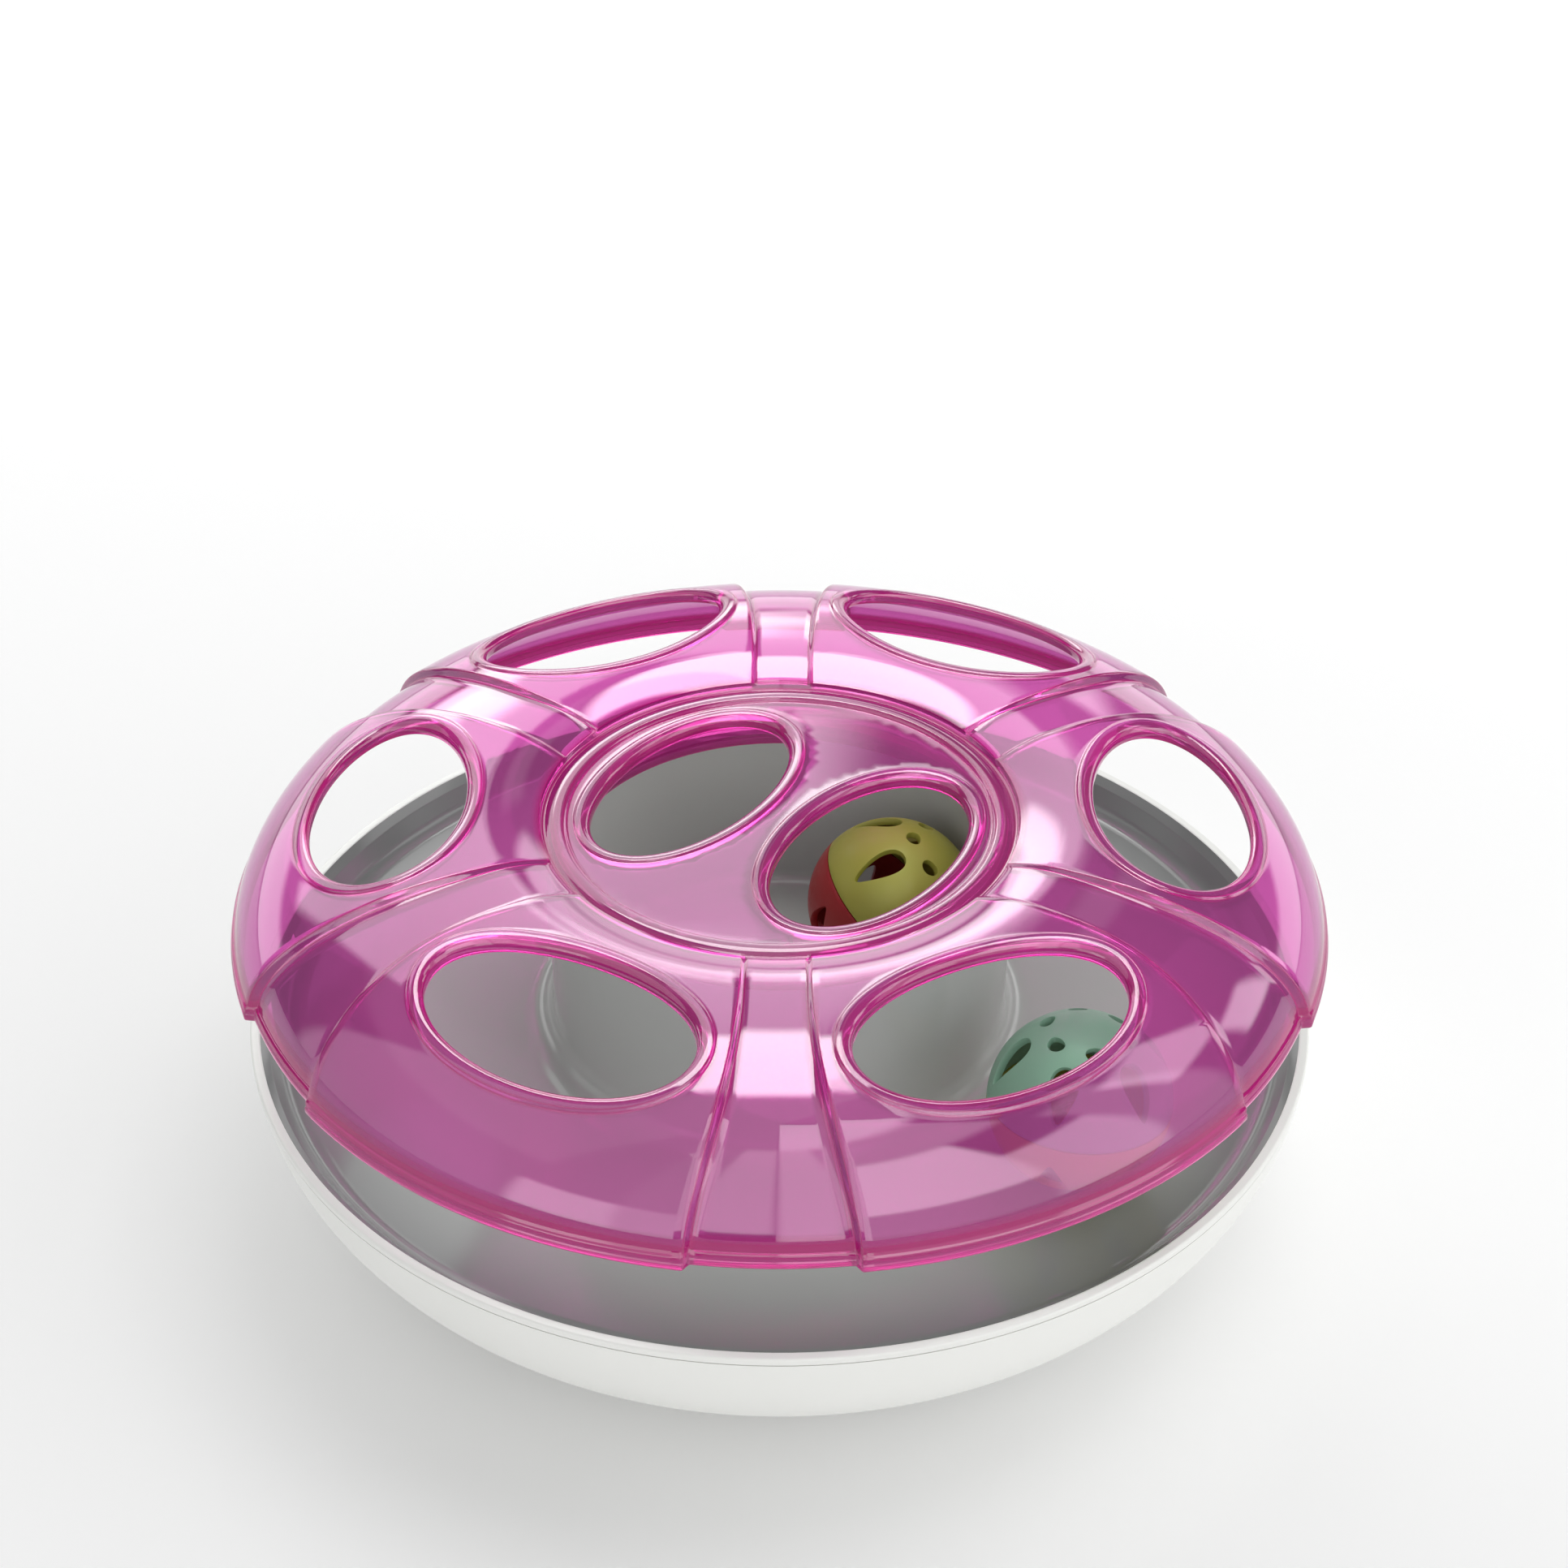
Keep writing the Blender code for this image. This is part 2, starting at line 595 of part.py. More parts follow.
def make_half(name, finish, frame, centre, end):
    """Half a ball: end is 1 for the half at the pole and -1 for the other."""
    facing = frame * np.array([[1], [end], [end]])
    seam = math.degrees(math.asin(SEAT_GAP / 2 / BALL_RADIUS))
    ring = [360 * n / BALL_STEPS for n in range(BALL_STEPS)]
    polars = np.linspace(0, 90 - seam, BALL_ROWS + 1)[1:]
    inner = BALL_RADIUS - BALL_WALL
    rows = [[ball_point(0, 0, BALL_RADIUS, facing)]]
    rows += [[ball_point(a, p, BALL_RADIUS, facing) for a in ring] for p in polars]
    rows += [[ball_point(a, p, inner, facing) for a in ring] for p in polars[::-1]]
    rows.append([ball_point(0, 0, inner, facing)])
    shell = bmesh.new()
    skin(shell, rows)
    shell.transform(Matrix.Translation(centre))
    half = new_object(name, shell, finish, origin=centre)
    cuts = bmesh.new()
    tear = ((TEAR_NEAR + TEAR_FAR) / 2, (TEAR_FAR - TEAR_NEAR) / 2, TEAR_WIDTH / 2, TEAR_TAPER, TEAR_STEPS)
    oval = (OVAL_POLAR, OVAL_SHORT / 2, OVAL_LONG / 2, 0, OVAL_STEPS)
    for number in range(HOLES_ROUND):
        turn = 360 / HOLES_ROUND * number
        hole_cut(cuts, turn, *tear, facing)
        hole_cut(cuts, turn + 180 / HOLES_ROUND, *oval, facing)
    cuts.transform(Matrix.Translation(centre))
    boolean(half, new_object(f"{name}_cuts", cuts, helper=True, origin=centre), "DIFFERENCE")


def bell_loop(x, y, z):
    """The wire eye on top of a bell."""
    hub = np.array((x, y, z + BELL_RADIUS + BELL_LOOP_RADIUS - BELL_LOOP_WIRE))
    rows = []
    for number in range(LOOP_STEPS):
        across, up = on_circle(1, 360 * number / LOOP_STEPS)
        spoke = np.array((across, 0, up))
        sides = [spoke, np.array((0, 1, 0)), -spoke, np.array((0, -1, 0))]
        rows.append([tuple(hub + BELL_LOOP_RADIUS * spoke + BELL_LOOP_WIRE * side) for side in sides])
    loop = bmesh.new()
    skin(loop, rows, loop=True)
    return loop


def bell_slots(x, y, z):
    """A cross cut up from the bottom of a bell."""
    near, far = BELL_SLOT / 2, BELL_SLOT_REACH / 2
    cross = []
    for quarter in range(4):
        turn = Matrix.Rotation(math.radians(90 * quarter), 2)
        cross += [turn @ Vector(corner) for corner in ((far, -near), (far, near), (near, near))]
    levels = (z - BELL_RADIUS - CUT_PAST, z + BELL_SLOT_TOP)
    slots = bmesh.new()
    ends = [[(x + a, y + b, level) for a, b in cross] for level in levels]
    skin(slots, [[(x, y, levels[0])], *ends, [(x, y, levels[1])]])
    return slots


def make_bell(prefix, centre, brass, steel):
    """A pressed bell: two cups that meet at a crimped edge, with a pellet inside."""
    x, y, z = centre
    inner = BELL_RADIUS - BELL_WALL
    turns = np.radians(np.linspace(0, 90, BELL_ROWS + 1))[1:-1]
    outer_arc = [(BELL_RADIUS * math.sin(t), BELL_RADIUS * math.cos(t)) for t in turns]
    inner_arc = [(inner * math.sin(t), inner * math.cos(t)) for t in turns]
    low, high = SEAT_GAP / 2, SEAT_GAP / 2 + BELL_WALL
    edge = BELL_RADIUS + BELL_FLANGE
    rim = [(BELL_RADIUS, high), (edge, high), (edge, low), (inner, low)]
    profile = [(0, BELL_RADIUS), *outer_arc, *rim, *inner_arc[::-1], (0, inner)]
    changes = {"top": (1, bell_loop, "UNION"), "bottom": (-1, bell_slots, "DIFFERENCE")}
    for label, (end, helper, operation) in changes.items():
        cup = bmesh.new()
        lathe(cup, [(radius, z + end * height) for radius, height in profile], BELL_STEPS, (x, y))
        made = new_object(f"{prefix}_bell_{label}", cup, brass)
        boolean(made, new_object(f"{prefix}_{helper.__name__}", helper(x, y, z), helper=True), operation)
    pellet = bmesh.new()
    middle = z - inner + SEAT_GAP + PELLET_RADIUS
    turns = np.radians(np.linspace(0, 180, BELL_ROWS + 2))[1:-1]
    arc = [(PELLET_RADIUS * math.sin(t), middle - PELLET_RADIUS * math.cos(t)) for t in turns]
    lathe(pellet, [(0, middle - PELLET_RADIUS), *arc, (0, middle + PELLET_RADIUS)], BELL_STEPS, (x, y))
    new_object(f"{prefix}_bell_pellet", pellet, steel)


def make_ball(prefix, orbit, azimuth, pole, spin, colours, bell_finishes):
    centre = (*on_circle(orbit, azimuth), ball_centre_z)
    frame = ball_frame(pole, spin)
    for end, (label, finish) in zip((1, -1), colours.items()):
        make_half(f"{prefix}_ball_half_{label}", finish, frame, centre, end)
    bell_drop = BALL_RADIUS - BALL_WALL - BELL_GAP - BELL_RADIUS
    make_bell(prefix, (centre[0], centre[1], centre[2] - bell_drop), *bell_finishes)


def main():
    for old in list(bpy.data.objects):
        bpy.data.objects.remove(old)
    white = material("white_plastic", (0.80, 0.80, 0.79), 0.3)
    pink = material("pink_clear_plastic", (0.55, 0.08, 0.36), 0.08, alpha=0.5)
    rubber = material("grey_rubber", (0.10, 0.10, 0.10), 0.8)
    steel = material("zinc_steel", (0.55, 0.55, 0.56), 0.35, metallic=1)
    brass = material("bell_brass", (0.62, 0.45, 0.18), 0.3, metallic=1)
    mint = material("mint_plastic", (0.25, 0.42, 0.31), 0.45)
    yellow = material("yellow_plastic", (0.48, 0.46, 0.09), 0.45)
    red = material("red_plastic", (0.28, 0.01, 0.015), 0.4)
    make_hull(white)
    make_pads(rubber)
    make_tray(white)
    make_screws(steel)
    make_lid(pink)
    track_colours = {"mint": mint, "yellow": yellow}
    cup_colours = {"yellow": yellow, "red": red}
    bell = (brass, steel)
    make_ball("track", track_orbit, TRACK_BALL_AT, TRACK_BALL_POLE, TRACK_BALL_SPIN, track_colours, bell)
    make_ball("cup", cup_orbit, CUP_BALL_AT, CUP_BALL_POLE, CUP_BALL_SPIN, cup_colours, bell)


main()
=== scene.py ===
import math

import bmesh
import bpy
import numpy as np
from mathutils import Matrix, Vector, geometry


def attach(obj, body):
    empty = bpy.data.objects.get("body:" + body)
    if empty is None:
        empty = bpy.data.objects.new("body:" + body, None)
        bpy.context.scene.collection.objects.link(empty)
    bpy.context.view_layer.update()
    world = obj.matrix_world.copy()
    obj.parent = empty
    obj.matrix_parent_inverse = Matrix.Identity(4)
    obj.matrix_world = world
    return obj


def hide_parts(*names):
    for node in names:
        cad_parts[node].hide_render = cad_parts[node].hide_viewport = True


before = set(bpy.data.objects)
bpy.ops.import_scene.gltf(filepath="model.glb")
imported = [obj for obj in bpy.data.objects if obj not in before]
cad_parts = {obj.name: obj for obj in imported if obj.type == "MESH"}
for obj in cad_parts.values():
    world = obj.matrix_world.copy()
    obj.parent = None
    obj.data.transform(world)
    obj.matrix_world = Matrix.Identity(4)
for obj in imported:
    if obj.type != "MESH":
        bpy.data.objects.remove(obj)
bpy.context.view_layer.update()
mm = 0.001
print("frame loaded:", len(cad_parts), "nodes")


# Small helpers


def linear(code):  # an sRGB hex colour as the linear values that shaders take
    parts = [int(code[n : n + 2], 16) / 255 for n in (0, 2, 4)]
    return (*[p / 12.92 if p <= 0.04045 else ((p + 0.055) / 1.055) ** 2.4 for p in parts], 1.0)


def setValues(node, values):
    for name, value in values.items():
        node.inputs[name].default_value = value


def feed(tree, node, sources):
    for name, source in sources.items():
        tree.links.new(source, node.inputs[name])


def addNode(tree, kind, settings=None, links=None):
    # settings are input values where the name or number is a socket's, and node options otherwise
    node = tree.nodes.new(kind)
    for name, value in (settings or {}).items():
        if isinstance(name, int) or name in node.inputs:
            setValues(node, {name: value})
        else:
            setattr(node, name, value)
    feed(tree, node, links or {})
    return node


def onCircle(radius, degrees):
    turn = math.radians(degrees)
    return radius * math.cos(turn), radius * math.sin(turn)


def makeObject(name, work, finish, sharpAngle=38):
    # work is a bmesh in millimetres; faces that meet at more than sharpAngle keep a crisp edge
    bmesh.ops.recalc_face_normals(work, faces=work.faces)
    work.transform(Matrix.Scale(mm, 4))
    mesh = bpy.data.meshes.new(name)
    work.to_mesh(mesh)
    work.free()
    mesh.shade_smooth()
    mesh.set_sharp_from_angle(angle=math.radians(sharpAngle))
    if finish:
        mesh.materials.append(finish)
    made = bpy.data.objects.new(name, mesh)
    bpy.context.scene.collection.objects.link(made)
    return made


def addRows(work, rows, closed=False):
    # joins rows of points, each a ring; a row of one point closes the end
    rings = [[work.verts.new(point) for point in row] for row in rows]
    pairs = list(zip(rings, rings[1:]))
    if closed:
        pairs.append((rings[-1], rings[0]))
    for near, far in pairs:
        count = max(len(near), len(far))
        for n in range(count):
            after = (n + 1) % count
            corners = [row[at % len(row)] for row, at in ((near, n), (near, after), (far, after), (far, n))]
            work.faces.new(list(dict.fromkeys(corners)))
    return rings


def turned(profile, steps, place=(0, 0)):
    # a solid of revolution from (radius, height) points
    work = bmesh.new()
    rows = []
    for radius, height in profile:
        spokes = [0] if radius == 0 else [360 * n / steps for n in range(steps)]
        flat = [onCircle(radius, spoke) for spoke in spokes]
        rows.append([(place[0] + x, place[1] + y, height) for x, y in flat])
    addRows(work, rows)
    return work


def rounded(corners, arcSteps=6):
    # (radius, height, fillet) corners of a closed outline as points, each fillet an arc
    points = []
    for n, (radius, height, fillet) in enumerate(corners):
        here = np.array((radius, height), float)
        if not fillet:
            points.append(tuple(here))
            continue
        back = np.array(corners[n - 1][:2]) - here
        ahead = np.array(corners[(n + 1) % len(corners)][:2]) - here
        back /= np.linalg.norm(back)
        ahead /= np.linalg.norm(ahead)
        half = math.acos(np.clip(back @ ahead, -1, 1)) / 2
        middle = here + (back + ahead) / np.linalg.norm(back + ahead) * fillet / math.sin(half)
        start = here + back * fillet / math.tan(half) - middle
        finish = here + ahead * fillet / math.tan(half) - middle
        for share in np.linspace(0, 1, arcSteps + 1):
            spoke = start * (1 - share) + finish * share
            points.append(tuple(middle + spoke / np.linalg.norm(spoke) * fillet))
    return points


def normalsOf(points):  # outward normals of an outline that runs from the axis outwards
    points = np.array(points, float)
    runs = np.gradient(points, axis=0)
    sides = np.stack([-runs[:, 1], runs[:, 0]], axis=1)
    return sides / np.linalg.norm(sides, axis=1, keepdims=True)


def applyModifiers(made, finish):
    # the evaluated object as a plain mesh, with the modifiers gone
    depsgraph = bpy.context.evaluated_depsgraph_get()
    mesh = bpy.data.meshes.new_from_object(made.evaluated_get(depsgraph))
    made.modifiers.clear()
    old = made.data
    made.data = mesh
    bpy.data.meshes.remove(old)
    mesh.name = made.name
    mesh.materials.clear()
    mesh.materials.append(finish)
    return made


def newTree(name, inputs):
    tree = bpy.data.node_groups.new(name, "GeometryNodeTree")
    tree.interface.new_socket("Geometry", in_out="INPUT", socket_type="NodeSocketGeometry")
    for label, kind in inputs.items():
        tree.interface.new_socket(label, in_out="INPUT", socket_type=f"NodeSocket{kind}")
    tree.interface.new_socket("Geometry", in_out="OUTPUT", socket_type="NodeSocketGeometry")
    return tree, addNode(tree, "NodeGroupInput").outputs


def copiesRound(tree, given, piece):
    # copies of a piece, each turned further about the upright axis, as one mesh
    points = addNode(tree, "GeometryNodeMeshLine", {"Offset": (0, 0, 0)}, {"Count": given["Copies"]})
    index = addNode(tree, "GeometryNodeInputIndex").outputs[0]
    step = addNode(tree, "ShaderNodeMath", {"operation": "DIVIDE", 0: 2 * math.pi}, {1: given["Copies"]})
    terms = {0: index, 1: step.outputs[0], 2: given["Start turn"]}
    turn = addNode(tree, "ShaderNodeMath", {"operation": "MULTIPLY_ADD"}, terms)
    angles = addNode(tree, "ShaderNodeCombineXYZ", links={"Z": turn.outputs[0]})
    rotation = addNode(tree, "FunctionNodeEulerToRotation", links={0: angles.outputs[0]})
    places = {"Points": points.outputs[0], "Instance": piece, "Rotation": rotation.outputs[0]}
    copies = {"Geometry": addNode(tree, "GeometryNodeInstanceOnPoints", links=places).outputs[0]}
    return addNode(tree, "GeometryNodeRealizeInstances", links=copies).outputs[0]


def endTree(tree, geometry, finish):
    plain = addNode(tree, "GeometryNodeRealizeInstances", links={"Geometry": geometry}).outputs[0]
    coated = addNode(tree, "GeometryNodeSetMaterial", links={"Geometry": plain, "Material": finish})
    addNode(tree, "NodeGroupOutput", links={0: coated.outputs[0]})


def buildTurnedCopies():
    # copies of a piece turned about the upright axis, welded where they meet
    inputs = {"Copies": "Int", "Start turn": "Float", "Weld distance": "Float", "Finish": "Material"}
    tree, given = newTree("turnedCopies", inputs)
    near = {"Geometry": copiesRound(tree, given, given["Geometry"]), "Distance": given["Weld distance"]}
    endTree(tree, addNode(tree, "GeometryNodeMergeByDistance", links=near).outputs[0], given["Finish"])
    return tree


def buildRoundColumns(operation):
    # columns on a circle, cut out of a piece or joined to it
    sizes = dict.fromkeys(("Start turn", "Circle", "Radius", "Low", "High"), "Float")
    inputs = {"Copies": "Int", "Sides": "Int", **sizes, "Finish": "Material"}
    tree, given = newTree(f"roundColumns{operation.title()}", inputs)
    ends = {0: given["High"], 1: given["Low"]}
    depth = addNode(tree, "ShaderNodeMath", {"operation": "SUBTRACT"}, ends)
    total = addNode(tree, "ShaderNodeMath", {"operation": "ADD"}, ends)
    middle = addNode(tree, "ShaderNodeMath", {"operation": "MULTIPLY", 1: 0.5}, {0: total.outputs[0]})
    sides = {"Vertices": given["Sides"], "Radius": given["Radius"], "Depth": depth.outputs[0]}
    column = addNode(tree, "GeometryNodeMeshCylinder", links=sides).outputs["Mesh"]
    offset = addNode(tree, "ShaderNodeCombineXYZ", links={"X": given["Circle"], "Z": middle.outputs[0]})
    moved = {"Geometry": column, "Translation": offset.outputs[0]}
    column = addNode(tree, "GeometryNodeTransform", links=moved).outputs[0]
    joined = addNode(tree, "GeometryNodeMeshBoolean", {"operation": operation, "solver": "EXACT"})
    base = "Mesh 1" if operation == "DIFFERENCE" else "Mesh 2"
    feed(tree, joined, {base: given["Geometry"]})
    feed(tree, joined, {"Mesh 2": copiesRound(tree, given, column)})
    endTree(tree, joined.outputs["Mesh"], given["Finish"])
    return tree


turnedCopies = buildTurnedCopies()
roundCuts = buildRoundColumns("DIFFERENCE")
roundJoins = buildRoundColumns("UNION")
cutPast = 1  # a cut runs this far past the face that it opens


def useTree(made, tree, values):
    modifier = made.modifiers.new(tree.name, "NODES")
    modifier.node_group = tree
    for item in tree.interface.items_tree:
        if item.in_out == "INPUT" and item.name in values:
            modifier[item.identifier] = values[item.name]


# Materials, each named after the real one


def newFinish(name):
    made = bpy.data.materials.new(name)
    made.use_nodes = True
    tree = made.node_tree
    return made, tree, tree.nodes["Principled BSDF"], tree.nodes["Material Output"]


def mouldedPlastic(name, colour, paler, roughness, grain=1.6, grainHeight=0.01, mottle=24, ior=1.53):
    # moulded plastic: a faint mottle in the colour, fine grain from the tool, and uneven gloss
    made, tree, shader, _ = newFinish(name)
    place = {"Vector": addNode(tree, "ShaderNodeTexCoord").outputs["Object"]}
    broad = addNode(tree, "ShaderNodeTexNoise", {"Scale": 1 / (mottle * mm), "Detail": 3.0}, place)
    fine = addNode(tree, "ShaderNodeTexNoise", {"Scale": 1 / (grain * mm), "Detail": 2.0}, place)
    fine = fine.outputs["Fac"]
    pair = {"data_type": "RGBA", 6: linear(colour), 7: linear(paler)}
    tones = addNode(tree, "ShaderNodeMix", pair, {"Factor": broad.outputs["Fac"]})
    span = {"From Min": 0.3, "From Max": 0.7, "To Min": roughness * 0.88, "To Max": roughness * 1.12}
    gloss = addNode(tree, "ShaderNodeMapRange", span, {"Value": fine})
    relief = {"Strength": 1.0, "Distance": grainHeight * mm}
    bump = addNode(tree, "ShaderNodeBump", relief, {"Height": fine})
    skin = {"Base Color": tones.outputs[2], "Roughness": gloss.outputs[0], "Normal": bump.outputs[0]}
    feed(tree, shader, skin)
    setValues(shader, {"IOR": ior})
    return made


def trayShadedGrey(name, tones, roughness):
    # a moulded grey with painted shade: its tone follows the distance from the axis, lighter in the cup and
    # darker towards the outer wall; its IOR is under that of ABS, which keeps the mirrored panels faint
    ends = (tones[0], tones[-1])
    made = mouldedPlastic(name, ends[0][1], ends[1][1], roughness, grain=4.0, grainHeight=0.0006, ior=1.42)
    tree = made.node_tree
    place = addNode(tree, "ShaderNodeTexCoord").outputs["Object"]
    level = addNode(tree, "ShaderNodeVectorMath", {"operation": "MULTIPLY", 1: (1, 1, 0)}, {0: place})
    radius = addNode(tree, "ShaderNodeVectorMath", {"operation": "LENGTH"}, {0: level.outputs[0]})
    limits = {"From Min": ends[0][0] * mm, "From Max": ends[1][0] * mm}
    share = addNode(tree, "ShaderNodeMapRange", limits, {"Value": radius.outputs["Value"]})
    # painted shade: a ramp of greys by the distance from the axis, lighter in the cup and darker towards
    # the outer wall
    ramp = addNode(tree, "ShaderNodeValToRGB", links={"Fac": share.outputs[0]})
    stops = ramp.color_ramp.elements
    stops[0].color, stops[1].color = (linear(colour) for _, colour in ends)
    for reach, colour in tones[1:-1]:
        stops.new((reach - ends[0][0]) / (ends[1][0] - ends[0][0])).color = linear(colour)
    shadeTone = ramp.outputs["Color"]
    paler = addNode(tree, "ShaderNodeHueSaturation", {"Value": 1.05}, {"Color": shadeTone})
    mottle = tree.nodes["Principled BSDF"].inputs["Base Color"].links[0].from_node
    feed(tree, mottle, {6: shadeTone, 7: paler.outputs[0]})
    return made


def clearPink(name, look):
    # clear moulded plastic: sharp reflections, painted shade that deepens the dye where the wall turns and
    # bends, for light lost on its longer way through the wall, a faint flow wave
    made, tree, shader, output = newFinish(name)
    place = addNode(tree, "ShaderNodeTexCoord").outputs["Object"]
    size = {"Scale": 1 / (look["wave"] * mm), "Detail": 1.0}
    wave = addNode(tree, "ShaderNodeTexNoise", size, {"Vector": place}).outputs["Fac"]
    relief = {"Strength": 1.0, "Distance": look["waveHeight"] * mm}
    bump = addNode(tree, "ShaderNodeBump", relief, {"Height": wave}).outputs[0]
    facing = addNode(tree, "ShaderNodeLayerWeight", {"Blend": 0.5}, {"Normal": bump}).outputs["Facing"]
    creaseShadeMask = addNode(tree, "ShaderNodeAttribute", {"attribute_name": "crease"}).outputs["Fac"]
    pair = {"data_type": "RGBA", 6: linear(look["tint"]), 7: linear(look["shade"])}
    colour = addNode(tree, "ShaderNodeMix", pair, {"Factor": wave}).outputs[2]
    # painted shade: the colour darkens where the wall turns from the eye and where it bends sharply
    for factor, deeper in ((facing, "edge"), (creaseShadeMask, "crease")):
        pair = {"data_type": "RGBA", 7: linear(look[deeper])}
        colour = addNode(tree, "ShaderNodeMix", pair, {"Factor": factor, 6: colour}).outputs[2]
    span = {"To Min": look["clear"], "To Max": look["creaseClear"]}
    clear = addNode(tree, "ShaderNodeMapRange", span, {"Value": creaseShadeMask}).outputs[0]
    setValues(shader, {"Roughness": look["roughness"], "IOR": look["ior"]})
    feed(tree, shader, {"Transmission Weight": clear, "Base Color": colour, "Normal": bump})
    # the light that reaches what lies under the lid is dimmed and keeps its colour
    rays = addNode(tree, "ShaderNodeLightPath").outputs
    passed = addNode(tree, "ShaderNodeBsdfTransparent", {"Color": linear(look["lampPass"])}).outputs[0]
    surface = shader.outputs[0]
    for kind in ("Is Shadow Ray", "Is Diffuse Ray"):
        sides = {0: rays[kind], 1: surface, 2: passed}
        surface = addNode(tree, "ShaderNodeMixShader", links=sides).outputs[0]
    feed(tree, output, {"Surface": surface})
    return made


def metal(name, colour, paler, roughness, brushing):
    # pressed or plated metal: fine scratches in one direction
    made, tree, shader, _ = newFinish(name)
    place = addNode(tree, "ShaderNodeTexCoord").outputs["Object"]
    stretched = addNode(tree, "ShaderNodeMapping", {"Scale": (1, 1, 6)}, {"Vector": place})
    size = {"Scale": 1 / (brushing * mm), "Detail": 4.0}
    lines = addNode(tree, "ShaderNodeTexNoise", size, {"Vector": stretched.outputs[0]}).outputs["Fac"]
    pair = {"data_type": "RGBA", 6: linear(colour), 7: linear(paler)}
    tones = addNode(tree, "ShaderNodeMix", pair, {"Factor": lines})
    span = {"To Min": roughness * 0.8, "To Max": roughness * 1.3}
    gloss = addNode(tree, "ShaderNodeMapRange", span, {"Value": lines})
    feed(tree, shader, {"Base Color": tones.outputs[2], "Roughness": gloss.outputs[0]})
    setValues(shader, {"Metallic": 1.0})
    return made


# the tray's painted shade, lighter in the cup and darker towards the outer wall: distance from the axis in
# mm and colour
trayShadeTones = [(34, "DADBD9"), (50, "BEBFBD"), (56, "ACADAB"), (90, "B2B3B1"), (116, "828383")]
pinkLook = {
    "tint": "E264BE",
    "shade": "E060BA",  # on the crests of the flow wave
    "edge": "AE4498",  # painted shade where the wall turns away from the eye
    "crease": "C4047E",  # painted shade where the wall bends sharply
    "clear": 0.82,  # how much light the wall and its creases let through
    "creaseClear": 0.55,
    "roughness": 0.02,
    "ior": 1.64,  # SAN has 1.57; a little more gives its reflections their strength
    "wave": 38,
    "waveHeight": 0.05,
    "lampPass": "E6E6E6",  # what it leaves of a lamp's light for the pieces under it
}
# gloss ABS shows soft broad highlights; the tray's tool was polished, so its highlights are sharper
whiteAbs = mouldedPlastic("glossWhiteAbs", "EDEEEA", "F1F1EE", 0.34, grain=3.0, grainHeight=0.004)
# the tray's greys carry painted shade, set by the distance from the axis
greyAbsShaded = trayShadedGrey("glossGreyAbs", trayShadeTones, 0.15)
# SAN is clear and hard and takes a glass-like polish
pinkSan = clearPink("clearPinkSan", pinkLook)
# polypropylene has a waxy satin surface with wide dull highlights
mintPp = mouldedPlastic("satinMintPp", "86B098", "8CB59D", 0.42, ior=1.49)
yellowPp = mouldedPlastic("satinYellowPp", "A39F41", "A9A547", 0.42, ior=1.49)
redPp = mouldedPlastic("satinRedPp", "9C2024", "A32428", 0.38, ior=1.49)
# moulded rubber is matt with a visible grain
rubberGrain = {"grain": 0.8, "grainHeight": 0.03}
padRubber = mouldedPlastic("softGreyRubber", "3A3A3B", "454546", 0.75, ior=1.52, **rubberGrain)
# sheet brass and zinc-plated steel, both dulled by fine scratches
brass = metal("pressedBrass", "A88A4A", "B89A58", 0.32, 1.2)
zinc = metal("zincPlatedSteel", "A5A7A9", "B9BABC", 0.38, 1.0)
print("finishes made")


# Bowl: the outer white shell, turned, with pad recesses and screw holes beneath

bowl = {
    "rimRadius": 123.5,
    "rimHeight": 49.4,
    "footRadius": 69.0,
    "footHeight": 1.2,  # the rubber pads lift it this far
    "wall": 1.8,
    "sidePower": 1.8,  # the side is a superellipse with these powers, outwards and downwards
    "basePower": 1.84,
    "lipThickness": 1.5,
    "seatGap": 0.3,
    "steps": 192,
    "sideRows": 34,
}
pads = {
    "count": 4,
    "start": 45.0,
    "circle": 66.0,
    "radius": 8.0,
    "recess": 0.9,
    "groove": 0.35,  # a moulded ring in the sole, with its corners at these shares of the radius
    "grooveShares": (0.52, 0.55, 0.63, 0.66),
    "soleRound": 0.5,
    "topRound": 0.2,
    "sides": 48,
}
screws = {
    "count": 4,
    "circle": 36.0,
    "radius": 1.5,
    "headRadius": 3.0,
    "headHeight": 1.8,
    "headRound": 0.6,
    "length": 14.0,
    "pitch": 1.1,
    "threadFrom": 1.2,
    "threadRoot": 0.78,  # as a share of the radius
    "crossReach": 1.6,
    "crossHalfWidth": 0.35,
    "crossDepth": 1.1,
    "clearance": 0.3,
    "counterbore": 2.6,
    "bossWall": 1.8,
    "bossFloor": 2.0,
    "postRadius": 4.5,
    "sides": 32,
}
bowl["top"] = bowl["rimHeight"] - bowl["lipThickness"] - bowl["seatGap"]
screws["shelf"] = bowl["footHeight"] + screws["counterbore"]
screws["bossTop"] = screws["shelf"] + screws["bossFloor"]
screwRing = (screws["count"], 0, screws["circle"], screws["sides"])
padRing = (pads["count"], pads["start"], pads["circle"], pads["sides"])


def bowlSide(rows):
    ends = (bowl["footHeight"], bowl["top"])
    first, last = (math.acos((1 - z / bowl["rimHeight"]) ** (bowl["basePower"] / 2)) for z in ends)
    points = []
    for turn in np.linspace(first, last, rows):
        flare = (bowl["rimRadius"] - bowl["footRadius"]) * math.sin(turn) ** (2 / bowl["sidePower"])
        drop = math.cos(turn) ** (2 / bowl["basePower"])
        points.append((bowl["footRadius"] + flare, bowl["rimHeight"] * (1 - drop)))
    return points


